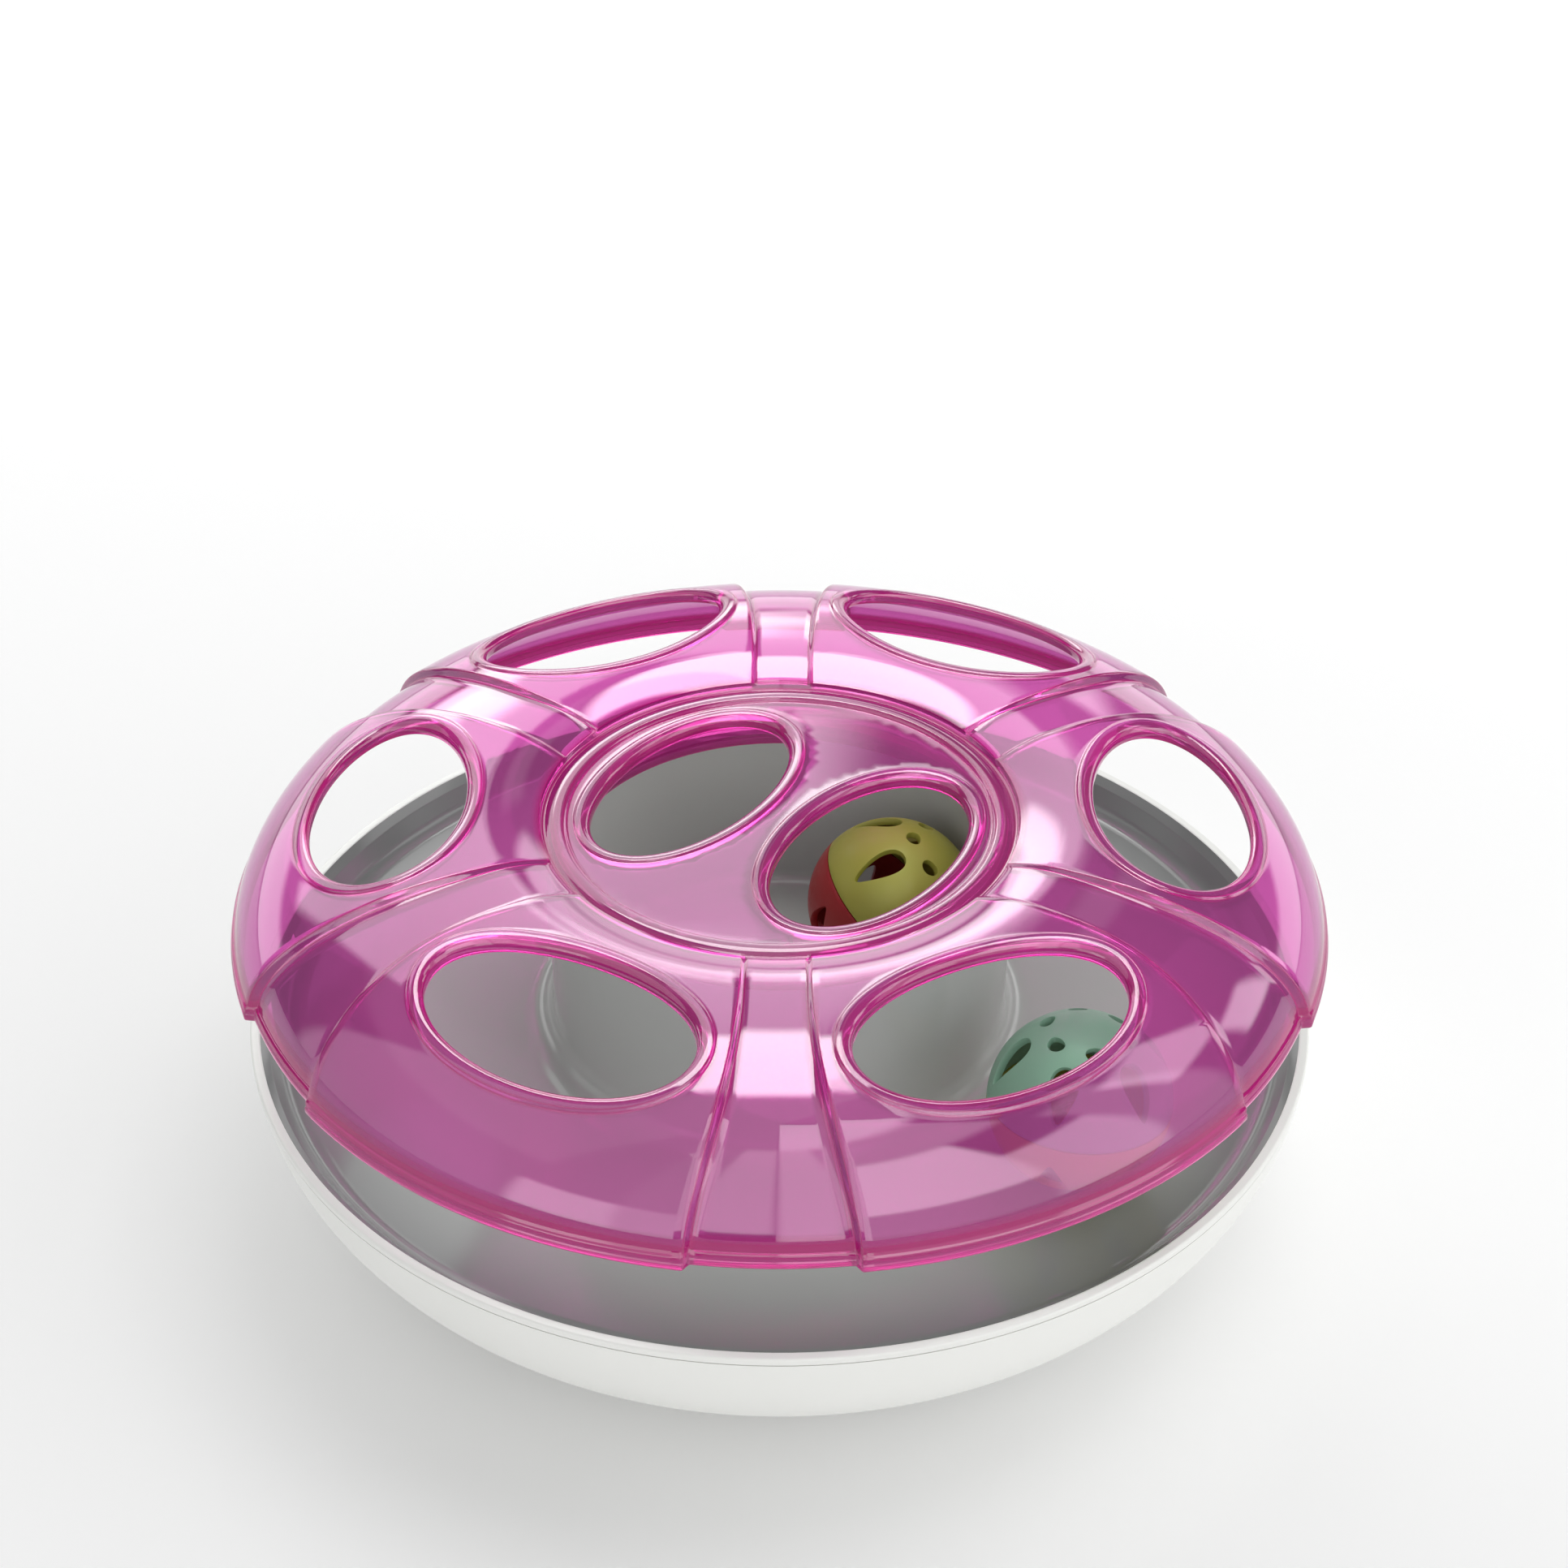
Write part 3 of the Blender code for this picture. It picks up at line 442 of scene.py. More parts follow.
def addColumns(made, tree, finish, ring, radius, low, high):
    # ring: how many columns, the first one's angle, the ring's radius, and the sides of a column
    count, start, circle, sides = ring
    values = {"Copies": count, "Start turn": math.radians(start), "Sides": sides, "Finish": finish}
    lengths = {"Circle": circle, "Radius": radius, "Low": low, "High": high}
    useTree(made, tree, {**values, **{name: length * mm for name, length in lengths.items()}})


def turnRound(made, count, start, weld, finish):
    values = {"Copies": count, "Start turn": math.radians(start), "Weld distance": weld * mm}
    useTree(made, turnedCopies, {**values, "Finish": finish})
    return applyModifiers(made, finish)


def makeBowl():
    outside = bowlSide(bowl["sideRows"])
    inside = [tuple(np.array(p) + bowl["wall"] * n) for p, n in zip(outside, normalsOf(outside))]
    inside[-1] = (outside[-1][0] - bowl["wall"], bowl["top"])
    foot = bowl["footHeight"]
    profile = [(0, foot), (outside[0][0] - 1, foot), *outside, *inside[::-1], (0, foot + bowl["wall"])]
    made = makeObject("bowl_shell", turned(profile, bowl["steps"]), whiteAbs)
    headBore = screws["headRadius"] + screws["clearance"]
    shankBore = screws["radius"] + screws["clearance"]
    boss = headBore + screws["bossWall"]
    shelf, bossTop = screws["shelf"], screws["bossTop"]
    addColumns(made, roundJoins, whiteAbs, screwRing, boss, foot + bowl["wall"] / 2, bossTop)
    addColumns(made, roundCuts, whiteAbs, screwRing, headBore, foot - cutPast, shelf)
    addColumns(made, roundCuts, whiteAbs, screwRing, shankBore, shelf - cutPast, bossTop + cutPast)
    recess = pads["radius"] + bowl["seatGap"]
    addColumns(made, roundCuts, whiteAbs, padRing, recess, foot - cutPast, foot + pads["recess"])
    return applyModifiers(made, whiteAbs)


bowlShell = makeBowl()
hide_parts("base_shell")
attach(bowlShell, "base")
print("bowl made")


# Foot pads and screws, four of each


def makePads():
    top = bowl["footHeight"] + pads["recess"] - bowl["seatGap"]
    edge = pads["radius"]
    depths = (0, pads["groove"], pads["groove"], 0)
    corners = [(edge * share, depth, 0) for share, depth in zip(pads["grooveShares"], depths)]
    corners += [(edge, 0, pads["soleRound"]), (edge, top, pads["topRound"])]
    work = turned([(0, 0), *rounded(corners, 4), (0, top)], pads["sides"], (pads["circle"], 0))
    made = makeObject("foot_pads", work, padRubber)
    return turnRound(made, pads["count"], pads["start"], 0.0, padRubber)


def makeScrews():
    head = screws["shelf"] - bowl["seatGap"]
    foot = head - screws["headHeight"]
    tip = head + screws["length"]
    wide, thin, pitch = screws["headRadius"], screws["radius"], screws["pitch"]
    # a known fault: rounded closes its outline, so two corners alone give points that aren't numbers,
    # and the screw comes out without its head
    profile = [(0, foot), *rounded([(wide, foot, screws["headRound"]), (wide, head, 0.2)], 4), (thin, head)]
    crest, root = head + screws["threadFrom"], thin * screws["threadRoot"]
    while crest + pitch < tip - thin:  # the thread as rings, which reads the same at this size
        profile += [(root, crest), (thin, crest + pitch * 0.45), (root, crest + pitch * 0.9)]
        crest += pitch
    profile += [(thin * 0.7, tip - thin), (0, tip)]
    made = makeObject("tray_screws", turned(profile, screws["sides"], (screws["circle"], 0)), zinc)
    cross = bmesh.new()
    near, far = screws["crossHalfWidth"], screws["crossReach"]
    outline = []
    for quarter in range(4):
        spin = Matrix.Rotation(math.radians(90 * quarter), 2)
        outline += [spin @ Vector(c) for c in ((far, -near), (far, near), (near, near))]
    levels = (foot - 0.5, foot + screws["crossDepth"])
    rows = [[(screws["circle"] + x, y, level) for x, y in outline] for level in levels]
    middle = [[(screws["circle"], 0, level)] for level in levels]
    addRows(cross, [middle[0], *rows, middle[1]])
    cutter = makeObject("driver_cross", cross, zinc)
    cut = made.modifiers.new("driverCross", "BOOLEAN")
    cut.object = cutter
    cut.operation = "DIFFERENCE"
    cut.solver = "EXACT"
    turnRound(made, screws["count"], 0, 0.0, zinc)
    bpy.data.objects.remove(cutter)
    return made


footPads = makePads()
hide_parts(*[f"foot_pad_{n}" for n in range(1, pads["count"] + 1)])
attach(footPads, "base")
trayScrews = makeScrews()
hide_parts(*[f"tray_screw_{n}" for n in range(1, screws["count"] + 1)])
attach(trayScrews, "base")
print("pads and screws made")


# Tray: rim lip, track floor and cup in one turned piece, with screw posts beneath

tray = {
    "wall": 1.8,
    "lipWidth": 2.1,
    "lipRound": 0.6,
    "floor": 41.7,
    "trackRadius": 115.6,
    "trackFillet": 6.0,
    "wallTopInset": 2.0,
    "wallTopDrop": 2.0,
    "wallTopRound": 1.4,
    "cupRadius": 53.1,
    "cupWall": 2.1,
    "cupHeight": 87.1,
    "cupFillet": 7.5,
    "cupFloorFillet": 4.0,
    "steps": 192,
}
tray["cupInner"] = tray["cupRadius"] - tray["cupWall"]
tray["under"] = tray["floor"] - tray["wall"]


def makeTray():
    lipInner = bowl["rimRadius"] - tray["lipWidth"]
    wallTop = np.array((lipInner - tray["wallTopInset"], bowl["rimHeight"] - tray["wallTopDrop"]))
    run = wallTop - np.array((tray["trackRadius"], tray["floor"]))
    out = np.array((run[1], -run[0])) / np.linalg.norm(run) * tray["wall"]
    underTop = wallTop + out
    underFoot = tray["trackRadius"] + out[0] - (tray["wall"] + out[1]) * run[0] / run[1]
    lipUnder = bowl["rimHeight"] - bowl["lipThickness"]
    hullFit = bowl["rimRadius"] - bowl["wall"] - bowl["seatGap"]
    soft = tray["lipRound"]
    corners = [
        (0, tray["floor"], 0),
        (tray["cupInner"], tray["floor"], tray["cupFloorFillet"]),
        (tray["cupInner"], tray["cupHeight"], soft),
        (tray["cupRadius"], tray["cupHeight"], soft),
        (tray["cupRadius"], tray["floor"], tray["cupFillet"]),
        (tray["trackRadius"], tray["floor"], tray["trackFillet"]),
        (*wallTop, tray["wallTopRound"]),
        (lipInner, bowl["rimHeight"], soft),
        (bowl["rimRadius"], bowl["rimHeight"], soft),
        (bowl["rimRadius"], lipUnder, 0),
        (hullFit, lipUnder, 0),
        (*underTop, 0),
        (underFoot, tray["under"], tray["wallTopRound"]),
        (0, tray["under"], 0),
    ]
    made = makeObject("track_tray_shell", turned(rounded(corners, 7), tray["steps"]), greyAbsShaded)
    foot, top = screws["bossTop"] + bowl["seatGap"], screws["shelf"] + screws["length"]
    bore = screws["radius"] + screws["clearance"]
    post = screws["postRadius"]
    addColumns(made, roundJoins, greyAbsShaded, screwRing, post, foot, tray["under"] + tray["wall"] / 2)
    addColumns(made, roundCuts, greyAbsShaded, screwRing, bore, foot - cutPast, top + cutPast)
    applyModifiers(made, greyAbsShaded)
    made.data.materials.append(whiteAbs)  # the lip is white like the bowl under it
    for face in made.data.polygons:
        middle = face.center / mm
        if middle.xy.length > lipInner - soft and middle.z > lipUnder - soft:
            face.material_index = 1
    return made


trayShell = makeTray()
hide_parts("track_tray")
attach(trayShell, "base")
print("tray made")


# Lid: one petal with half a channel on each side, six times round, and the dish in the middle

lid = {
    "radius": 122.4,
    "wall": 2.2,
    "seat": 87.4,
    "rimDrop": 13.8,
    "rimBand": 3.4,
    "rimBeads": (0.42, 0.73),
    "rimEdge": 2.6,
    "domeFoot": 1.0,
    "crownRadius": 69.2,
    "crownRise": 13.7,
    "shoulderPower": 2.35,  # the dome is a superellipse too
    "crownPower": 1.85,
    "ringRadius": 54.6,
    "ringDrop": 1.5,
    "dishRise": 9.3,
    "dishWall": 2.2,
    "dishCrown": 1.2,  # the dish is faintly domed
    "dishGrid": 2.4,
    # painted shade in the dye: bends in radians per mm from which it darkens and where it is darkest
    "creaseFrom": 0.16,
    "creaseTo": 0.7,
    "bendSpan": 0.15,  # bends are measured over at least this length
    "rimDeep": 2.6,  # the painted shade is darkest up to this far above the rim band
    "bandPale": 0.3,  # and lighter by this much in the band, from this far below its top
    "bandInset": 0.3,
    "bandSoft": 0.4,
    "ribDepth": 0.5,  # how dark the painted shade is on the rib round the dish
    "creaseShadeSoft": 0.8,
    "grooveWidth": 1.4,
    "ribWidth": 5.0,
    "ribHeight": 0.9,
    "skirtStand": 0.2,
    "skirtWall": 2.0,
    "skirtFillet": 2.4,
    "spigotDepth": 3.0,
    "spigotWall": 1.8,
    "spigotClearance": 0.4,
    "petals": 6,
    "petalStep": 2.0,
    "ringStep": 0.4,
    "stepFullRadius": 95.0,
    "channelNarrow": 6.0,
    "channelFlare": 10.1,
    "flarePower": 2.75,
    "channelSideRun": 1.6,
    "holeLong": 31.5,
    "holeShort": 17.7,
    "petalHoleCircle": 88.6,
    "dishHoleCircle": 24.1,
    "dishHoleAngle": 148.2,
    "sharpAngle": 50,
    "weld": 0.004,
    # rows and columns of the mesh
    "dipRows": 8,
    "domeRows": 64,
    "channelColumns": 5,
    "sideColumns": 8,
    "petalColumns": 44,
    "blockFrom": 64.5,  # plan radii between which the grid flows round the hole
    "blockTo": 112.4,
    "blockRings": 8,
}
lid["bottom"] = lid["seat"] - lid["rimDrop"]
lid["bandTop"] = lid["bottom"] + lid["rimBand"]
lid["crown"] = lid["seat"] + lid["crownRise"]
lid["dish"] = lid["seat"] + lid["dishRise"]
lid["ring"] = lid["dish"] + lid["ringDrop"]
petalPitch = 360 / lid["petals"]

# A hole's rim, from the lid's upper face down into the hole and back to its lower face:
# (distance outside the hole's edge, height above the upper face)
lipSection = [
    (4.1, 0.0),
    (3.85, 0.05),
    (3.6, 0.22),
    (3.35, 0.36),
    (2.95, 0.38),
    (2.3, 0.37),
    (1.7, 0.28),
    (1.15, 0.05),
    (0.65, -0.32),
    (0.25, -0.82),
    (0.04, -1.4),
    (0.0, -2.1),
    (0.0, -3.0),
    (0.12, -3.28),
    (0.42, -3.4),
    (1.6, -3.4),
    (1.95, -3.3),
    (2.15, -3.05),
    (2.25, -2.7),
    (2.5, -2.4),
    (2.95, -2.22),
]


def domeOutline():
    # the channel floors' outline from the ring to the rim band
    points = []
    for share in np.linspace(0, 1, lid["dipRows"], endpoint=False):
        radius = lid["ringRadius"] + (lid["crownRadius"] - lid["ringRadius"]) * share
        points.append((radius, lid["crown"] - (lid["crown"] - lid["ring"]) * (1 - share) ** 2))
    foot = lid["bottom"] + lid["domeFoot"]
    rise, spread = lid["crown"] - foot, lid["radius"] - lid["crownRadius"]
    last = math.acos(((lid["bandTop"] - foot) / rise) ** (lid["crownPower"] / 2))
    for turn in np.linspace(0, last, lid["domeRows"]):
        radius = lid["crownRadius"] + spread * math.sin(turn) ** (2 / lid["shoulderPower"])
        points.append((radius, foot + rise * math.cos(turn) ** (2 / lid["crownPower"])))
    return np.array(points)


def petalLift(radius):
    share = np.clip((radius - lid["ringRadius"]) / (lid["stepFullRadius"] - lid["ringRadius"]), 0, 1)
    return lid["ringStep"] + (lid["petalStep"] - lid["ringStep"]) * share * share * (3 - 2 * share)


def petalColumns(radius):
    # (angle from the petal's middle, how far up the channel's side) of the columns, left to right
    at = max(radius, lid["ringRadius"])
    share = min((at - lid["ringRadius"]) / (lid["radius"] - lid["ringRadius"]), 1)
    width = lid["channelNarrow"] + lid["channelFlare"] * share ** lid["flarePower"]
    half = math.degrees(math.asin(width / at))
    top = half + math.degrees(lid["channelSideRun"] / at)
    edge = petalPitch / 2
    left = [(-edge + half * n / lid["channelColumns"], 0.0) for n in range(lid["channelColumns"])]
    for n in range(lid["sideColumns"]):
        across = n / lid["sideColumns"]
        left.append((-edge + half + (top - half) * across, across * across * (3 - 2 * across)))
    count = lid["petalColumns"]
    middle = [(-edge + top + 2 * (edge - top) * n / count, 1.0) for n in range(count + 1)]
    return left + middle + [(-angle, up) for angle, up in left[::-1]]


outline = domeOutline()
facing = normalsOf(outline)
lifts = petalLift(outline[:, 0])
innerOutline = outline - lid["wall"] * facing
petalOuter = outline + lifts[:, None] * facing
petalInner = innerOutline + lifts[:, None] * facing


def rowPoints(point, normal, lift):
    row = []
    for angle, up in petalColumns(point[0]):
        x, y = onCircle(point[0] + up * lift * normal[0], angle)
        row.append((x, y, point[1] + up * lift * normal[1]))
    return row


def ellipsePoint(angle, outset, centre):
    # a point of the hole's outline, grown by outset; the long way of the hole is along Y
    across, along = math.cos(angle), math.sin(angle)
    normal = np.array((along * lid["holeLong"], across * lid["holeShort"]))
    normal /= np.linalg.norm(normal)
    x = centre + lid["holeShort"] * along + outset * normal[0]
    return x, lid["holeLong"] * across + outset * normal[1]


def joinRows(work, near, far, closed=False, skip=()):
    # four-sided faces between two rows of the same length
    for n in range(len(near) - 1 + closed):
        after = (n + 1) % len(near)
        if n not in skip:
            work.faces.new((near[n], near[after], far[after], far[n]))


def makePetal():
    work = bmesh.new()
    blockRows = [n for n, p in enumerate(petalOuter) if lid["blockFrom"] < p[0] < lid["blockTo"]]
    first, last = blockRows[0] - 1, blockRows[-1] + 1
    start = lid["channelColumns"] + lid["sideColumns"]
    stop = start + lid["petalColumns"]
    rimFirst, rimSecond = (lid["radius"] + bead for bead in lid["rimBeads"])
    top, low = lid["bandTop"], lid["bottom"]
    middle = (top + low) / 2
    rim = [
        (rimFirst - 0.25, top - 0.12),
        (rimFirst, top - 0.4),
        (rimFirst, middle + 0.15),
        (rimSecond - 0.15, middle - 0.05),
        (rimSecond, middle - 0.3),
        (rimSecond, low + 0.35),
        (rimSecond - 0.12, low + 0.1),
        (rimSecond - 0.4, low),
        (rimSecond - lid["rimEdge"], low),
    ]

    def sheet(curve):
        rows = [rowPoints(point, normal, lift) for point, normal, lift in zip(curve, facing, lifts)]
        grid = [[work.verts.new(point) for point in row] for row in rows]
        for r, (near, far) in enumerate(zip(grid, grid[1:])):
            joinRows(work, near, far, skip=range(start, stop) if first <= r < last else ())
        return grid

    def border(grid):
        # the grid's points round the block that the hole's rings fill
        loop = [grid[first][c] for c in range(start, stop)]
        loop += [grid[r][stop] for r in range(first, last)]
        loop += [grid[last][c] for c in range(stop, start, -1)]
        loop += [grid[r][start] for r in range(last, first, -1)]
        return loop

    outer, inner = sheet(outline), sheet(innerOutline)
    outerLoop, innerLoop = border(outer), border(inner)
    centre = lid["petalHoleCircle"]
    angles = [math.atan2((v.co.x - centre) / lid["holeShort"], v.co.y / lid["holeLong"]) for v in outerLoop]

    def ringAt(outset, curve, drop=0.0, share=0.0, loop=outerLoop):
        # a ring round the hole on a curve, drawn by share towards a loop of the grid
        ring = []
        for angle, vert in zip(angles, loop):
            x, y = ellipsePoint(angle, outset, centre)
            x, y = x + (vert.co.x - x) * share, y + (vert.co.y - y) * share
            level = float(np.interp(math.hypot(x, y), curve[:, 0], curve[:, 1]))
            ring.append(work.verts.new((x, y, level + drop)))
        return ring

    shares = np.linspace(1, 0, lid["blockRings"] + 1)[1:]
    down = [outerLoop] + [ringAt(lipSection[0][0], petalOuter, share=share) for share in shares]
    down += [ringAt(outset, petalOuter, drop) for outset, drop in lipSection[1:-1]]
    back = [ringAt(lipSection[-1][0], petalInner, share=share, loop=innerLoop) for share in shares]
    down += back[::-1] + [innerLoop]
    for near, far in zip(down, down[1:]):
        joinRows(work, near, far, closed=True)
    band = [[work.verts.new(p) for p in rowPoints(point, (1, 0), lid["petalStep"])] for point in rim]
    for near, far in zip([outer[-1], *band], [*band, inner[-1]]):
        joinRows(work, near, far)
    return work


def ringRow(point, normal, lift):
    # a whole row round the lid, without the doubled points where petals meet
    row = []
    for n in range(lid["petals"]):
        turn = Matrix.Rotation(math.radians(petalPitch * n), 3, "Z")
        row += [turn @ Vector(p) for p in rowPoints(point, normal, lift)[:-1]]
    return row


def dishSwell(radius):
    flat = lid["ringRadius"] - lid["grooveWidth"] - lid["ribWidth"] - 0.3
    return lid["dishCrown"] * max(0.0, 1 - (radius / flat) ** 2)


def fillDish(work, loops, level):
    # a face of even triangles between the rim's loop and the loops of the two holes
    verts, edges = [], []
    for loop in loops:
        first = len(verts)
        verts += loop
        edges += [(first + n, first + (n + 1) % len(loop)) for n in range(len(loop))]
    edge = min(vert.co.xy.length for vert in loops[0])
    step = lid["dishGrid"]
    rims = [[vert.co.xy for vert in loop] for loop in loops]
    for row in range(-int(edge / step), int(edge / step) + 1):
        for column in range(-int(edge / step) - 1, int(edge / step) + 1):
            spot = Vector(((column + 0.5 * (row % 2)) * step, row * step * 0.87))
            clear = min((spot - point).length for rim in rims for point in rim) > step * 0.7
            if clear and spot.length < edge and not any(inside(spot, rim) for rim in rims[1:]):
                verts.append(work.verts.new((spot.x, spot.y, level + dishSwell(spot.length))))
    flat = [vert.co.xy.copy() for vert in verts]
    points, _, faces, sources, _, _ = geometry.delaunay_2d_cdt(flat, edges, [], 1, 1e-6)
    for face in faces:
        centre = sum((points[n] for n in face), Vector((0, 0))) / len(face)
        if not any(inside(centre, rim) for rim in rims[1:]):
            work.faces.new([verts[sources[n][0]] for n in face])


def inside(spot, rim):  # whether a flat point lies in a closed outline
    crossings = 0
    for here, after in zip(rim, rim[1:] + rim[:1]):
        if (here.y > spot.y) != (after.y > spot.y):
            crossings += spot.x < here.x + (after.x - here.x) * (spot.y - here.y) / (after.y - here.y)
    return crossings % 2 == 1


def makeDish():
    work = bmesh.new()
    ribOut = lid["ringRadius"] - lid["grooveWidth"]
    ribIn = ribOut - lid["ribWidth"]
    dish, high = lid["dish"], lid["dish"] + lid["ribHeight"]
    top = [
        (ribOut + 1.2, dish + 1.1),
        (ribOut + 1.0, dish + 0.55),
        (ribOut + 0.7, dish + 0.15),
        (ribOut + 0.2, dish),
        (ribOut - 0.3, dish + 0.12),
        (ribOut - 0.9, dish + 0.5),
        (ribOut - 1.7, high - 0.1),
        (ribOut - 2.4, high),
        (ribIn + 1.3, high),
        (ribIn + 0.8, high - 0.12),
        (ribIn + 0.35, dish + 0.35),
        (ribIn, dish + 0.06),
        (ribIn - 0.3, dish),
    ]
    skirtOuter = tray["cupRadius"] + lid["skirtStand"]
    skirtInner = skirtOuter - lid["skirtWall"]
    spigotOuter = tray["cupInner"] - lid["spigotClearance"]
    spigotInner = spigotOuter - lid["spigotWall"]
    under = dish - lid["dishWall"]
    seat = lid["seat"]
    joint = innerOutline[0]
    skirt = [
        (skirtOuter + 0.45, joint[1] - 0.5),
        (skirtOuter + 0.1, joint[1] - 1.2),
        (skirtOuter, joint[1] - lid["skirtFillet"]),
        (skirtOuter, seat + 0.2),
        (skirtOuter - 0.2, seat),
        (spigotOuter, seat),
        (spigotOuter, seat - lid["spigotDepth"] + 0.4),
        (spigotOuter - 0.4, seat - lid["spigotDepth"]),
        (spigotInner + 0.2, seat - lid["spigotDepth"]),
        (spigotInner, seat - lid["spigotDepth"] + 0.2),
        (spigotInner, seat),
        (skirtInner, seat + lid["skirtWall"]),
        (skirtInner, under + 0.5),
        (skirtInner - 0.5, under),
    ]
    topRows = [ringRow(outline[0], facing[0], lifts[0])] + [ringRow(p, (0, 0), 0) for p in top]
    skirtRows = [ringRow(joint, facing[0], lifts[0])] + [ringRow(p, (0, 0), 0) for p in skirt]
    topEdge = addRows(work, topRows)[-1]
    underEdge = addRows(work, skirtRows)[-1]

    rimAngles = np.linspace(0, 2 * math.pi, 144, endpoint=False)
    upper, lower = [topEdge], [underEdge]
    for turn in (0, 180):
        spin = Matrix.Rotation(math.radians(lid["dishHoleAngle"] + turn), 3, "Z")
        rows = []
        for outset, drop in lipSection:
            points = [ellipsePoint(angle, outset, lid["dishHoleCircle"]) for angle in rimAngles]
            level = under if (outset, drop) == lipSection[-1] else dish + drop
            rows.append([spin @ Vector((x, y, level + dishSwell(math.hypot(x, y)))) for x, y in points])
        rings = addRows(work, rows)
        upper.append(rings[0])
        lower.append(rings[-1])
    fillDish(work, upper, dish)
    fillDish(work, lower, under)
    return work


def readAll(items, field, width, kind=float):
    values = np.empty(len(items) * width, kind)
    items.foreach_get(field, values)
    return values.reshape(-1, width)


def markCreaseShade(made):
    # how sharply the wall bends at each point, as painted shade for the material: darker at sharp bends, on
    # the rib and above the rim band
    mesh = made.data
    normals = readAll(mesh.polygons, "normal", 3)
    centres = readAll(mesh.polygons, "center", 3) / mm
    sizes = readAll(mesh.polygons, "loop_total", 1, int)[:, 0]
    loopEdges = readAll(mesh.loops, "edge_index", 1, int)[:, 0]
    ends = readAll(mesh.edges, "vertices", 2, int)
    places = readAll(mesh.vertices, "co", 3) / mm
    owners = np.repeat(np.arange(len(sizes)), sizes)[np.argsort(loopEdges, kind="stable")].reshape(-1, 2)
    one, other = owners[:, 0], owners[:, 1]
    turn = np.arccos(np.clip((normals[one] * normals[other]).sum(1), -1, 1))
    bend = turn / np.maximum(np.linalg.norm(centres[one] - centres[other], axis=1), lid["bendSpan"])
    sharpest = np.zeros(len(places))
    for column in (0, 1):
        np.maximum.at(sharpest, ends[:, column], bend)
    depth = np.clip((sharpest - lid["creaseFrom"]) / (lid["creaseTo"] - lid["creaseFrom"]), 0, 1)
    heights, reach = places[:, 2], np.linalg.norm(places[:, :2], axis=1)
    inRim = np.clip((lid["bandTop"] + lid["rimDeep"] - heights) / lid["creaseShadeSoft"], 0, 1)
    inBand = np.clip((lid["bandTop"] - lid["bandInset"] - heights) / lid["bandSoft"], 0, 1)
    ribHalf = lid["ribWidth"] / 2
    fromRib = np.abs(reach - lid["ringRadius"] + ribHalf)
    onRib = np.clip(1 - fromRib / (ribHalf + lid["creaseShadeSoft"]), 0, 0.5) * 2
    onRib *= lid["ribDepth"] * (heights > lid["dish"] - 0.5)
    depth = np.maximum(np.maximum(depth, onRib), inRim) - lid["bandPale"] * inBand
    # the painted shade is stored on the points for the material
    mesh.attributes.new("crease", "FLOAT", "POINT").data.foreach_set("value", depth.astype(np.float32))


def makeLid():
    made = makeObject("lid_shell", makePetal(), pinkSan)
    turnRound(made, lid["petals"], 0, lid["weld"], pinkSan)
    whole = bmesh.new()
    whole.from_mesh(made.data)
    whole.transform(Matrix.Scale(1 / mm, 4))
    dishMesh = bpy.data.meshes.new("dish")
    dishWork = makeDish()
    dishWork.to_mesh(dishMesh)
    dishWork.free()
    whole.from_mesh(dishMesh)
    bpy.data.meshes.remove(dishMesh)
    bmesh.ops.remove_doubles(whole, verts=whole.verts, dist=lid["weld"])
    openEdges = [edge for edge in whole.edges if not edge.is_manifold]
    print("lid:", len(whole.verts), "points,", len(openEdges), "open edges")
    bpy.data.objects.remove(made)
    made = makeObject("lid_shell", whole, pinkSan, lid["sharpAngle"])
    markCreaseShade(made)
    return made


lidShell = makeLid()
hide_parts("lid")
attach(lidShell, "lid")
print("lid made")


# Balls: two halves each, with long tear-shaped holes and small ovals round both poles

ball = {
    "radius": 20.0,
    "wall": 1.6,
    "seam": 0.3,
    "tearNear": 37.0,  # degrees from the pole to the round end of a long hole
    "tearFar": 75.0,
    "tearWidth": 17.0,
    "tearTaper": 0.45,
    "ovalPolar": 26.5,
    "ovalLong": 12.5,
    "ovalShort": 10.0,
    "holes": 6,
    "steps": 96,
    "rows": 26,
    "edgeRound": 0.25,
    "edgeAngle": 50.0,
}
balls = {
    "track": {
        "orbit": 87.2,
        "azimuth": -41.4,
        "pole": (0.044, 0.093, 0.995),
        "spin": 187.9,
        "halves": {"mint": mintPp, "yellow": yellowPp},
    },
    "cup": {
        "orbit": 30.4,
        "azimuth": 29.3,
        "pole": (0.64, -0.036, 0.767),
        "spin": 206.7,
        "halves": {"yellow": yellowPp, "red": redPp},
    },
}
ball["height"] = tray["floor"] + bowl["seatGap"] + ball["radius"]


def onBall(azimuth, polar, reach):
    across = reach * math.sin(math.radians(polar))
    return (*onCircle(across, azimuth), reach * math.cos(math.radians(polar)))


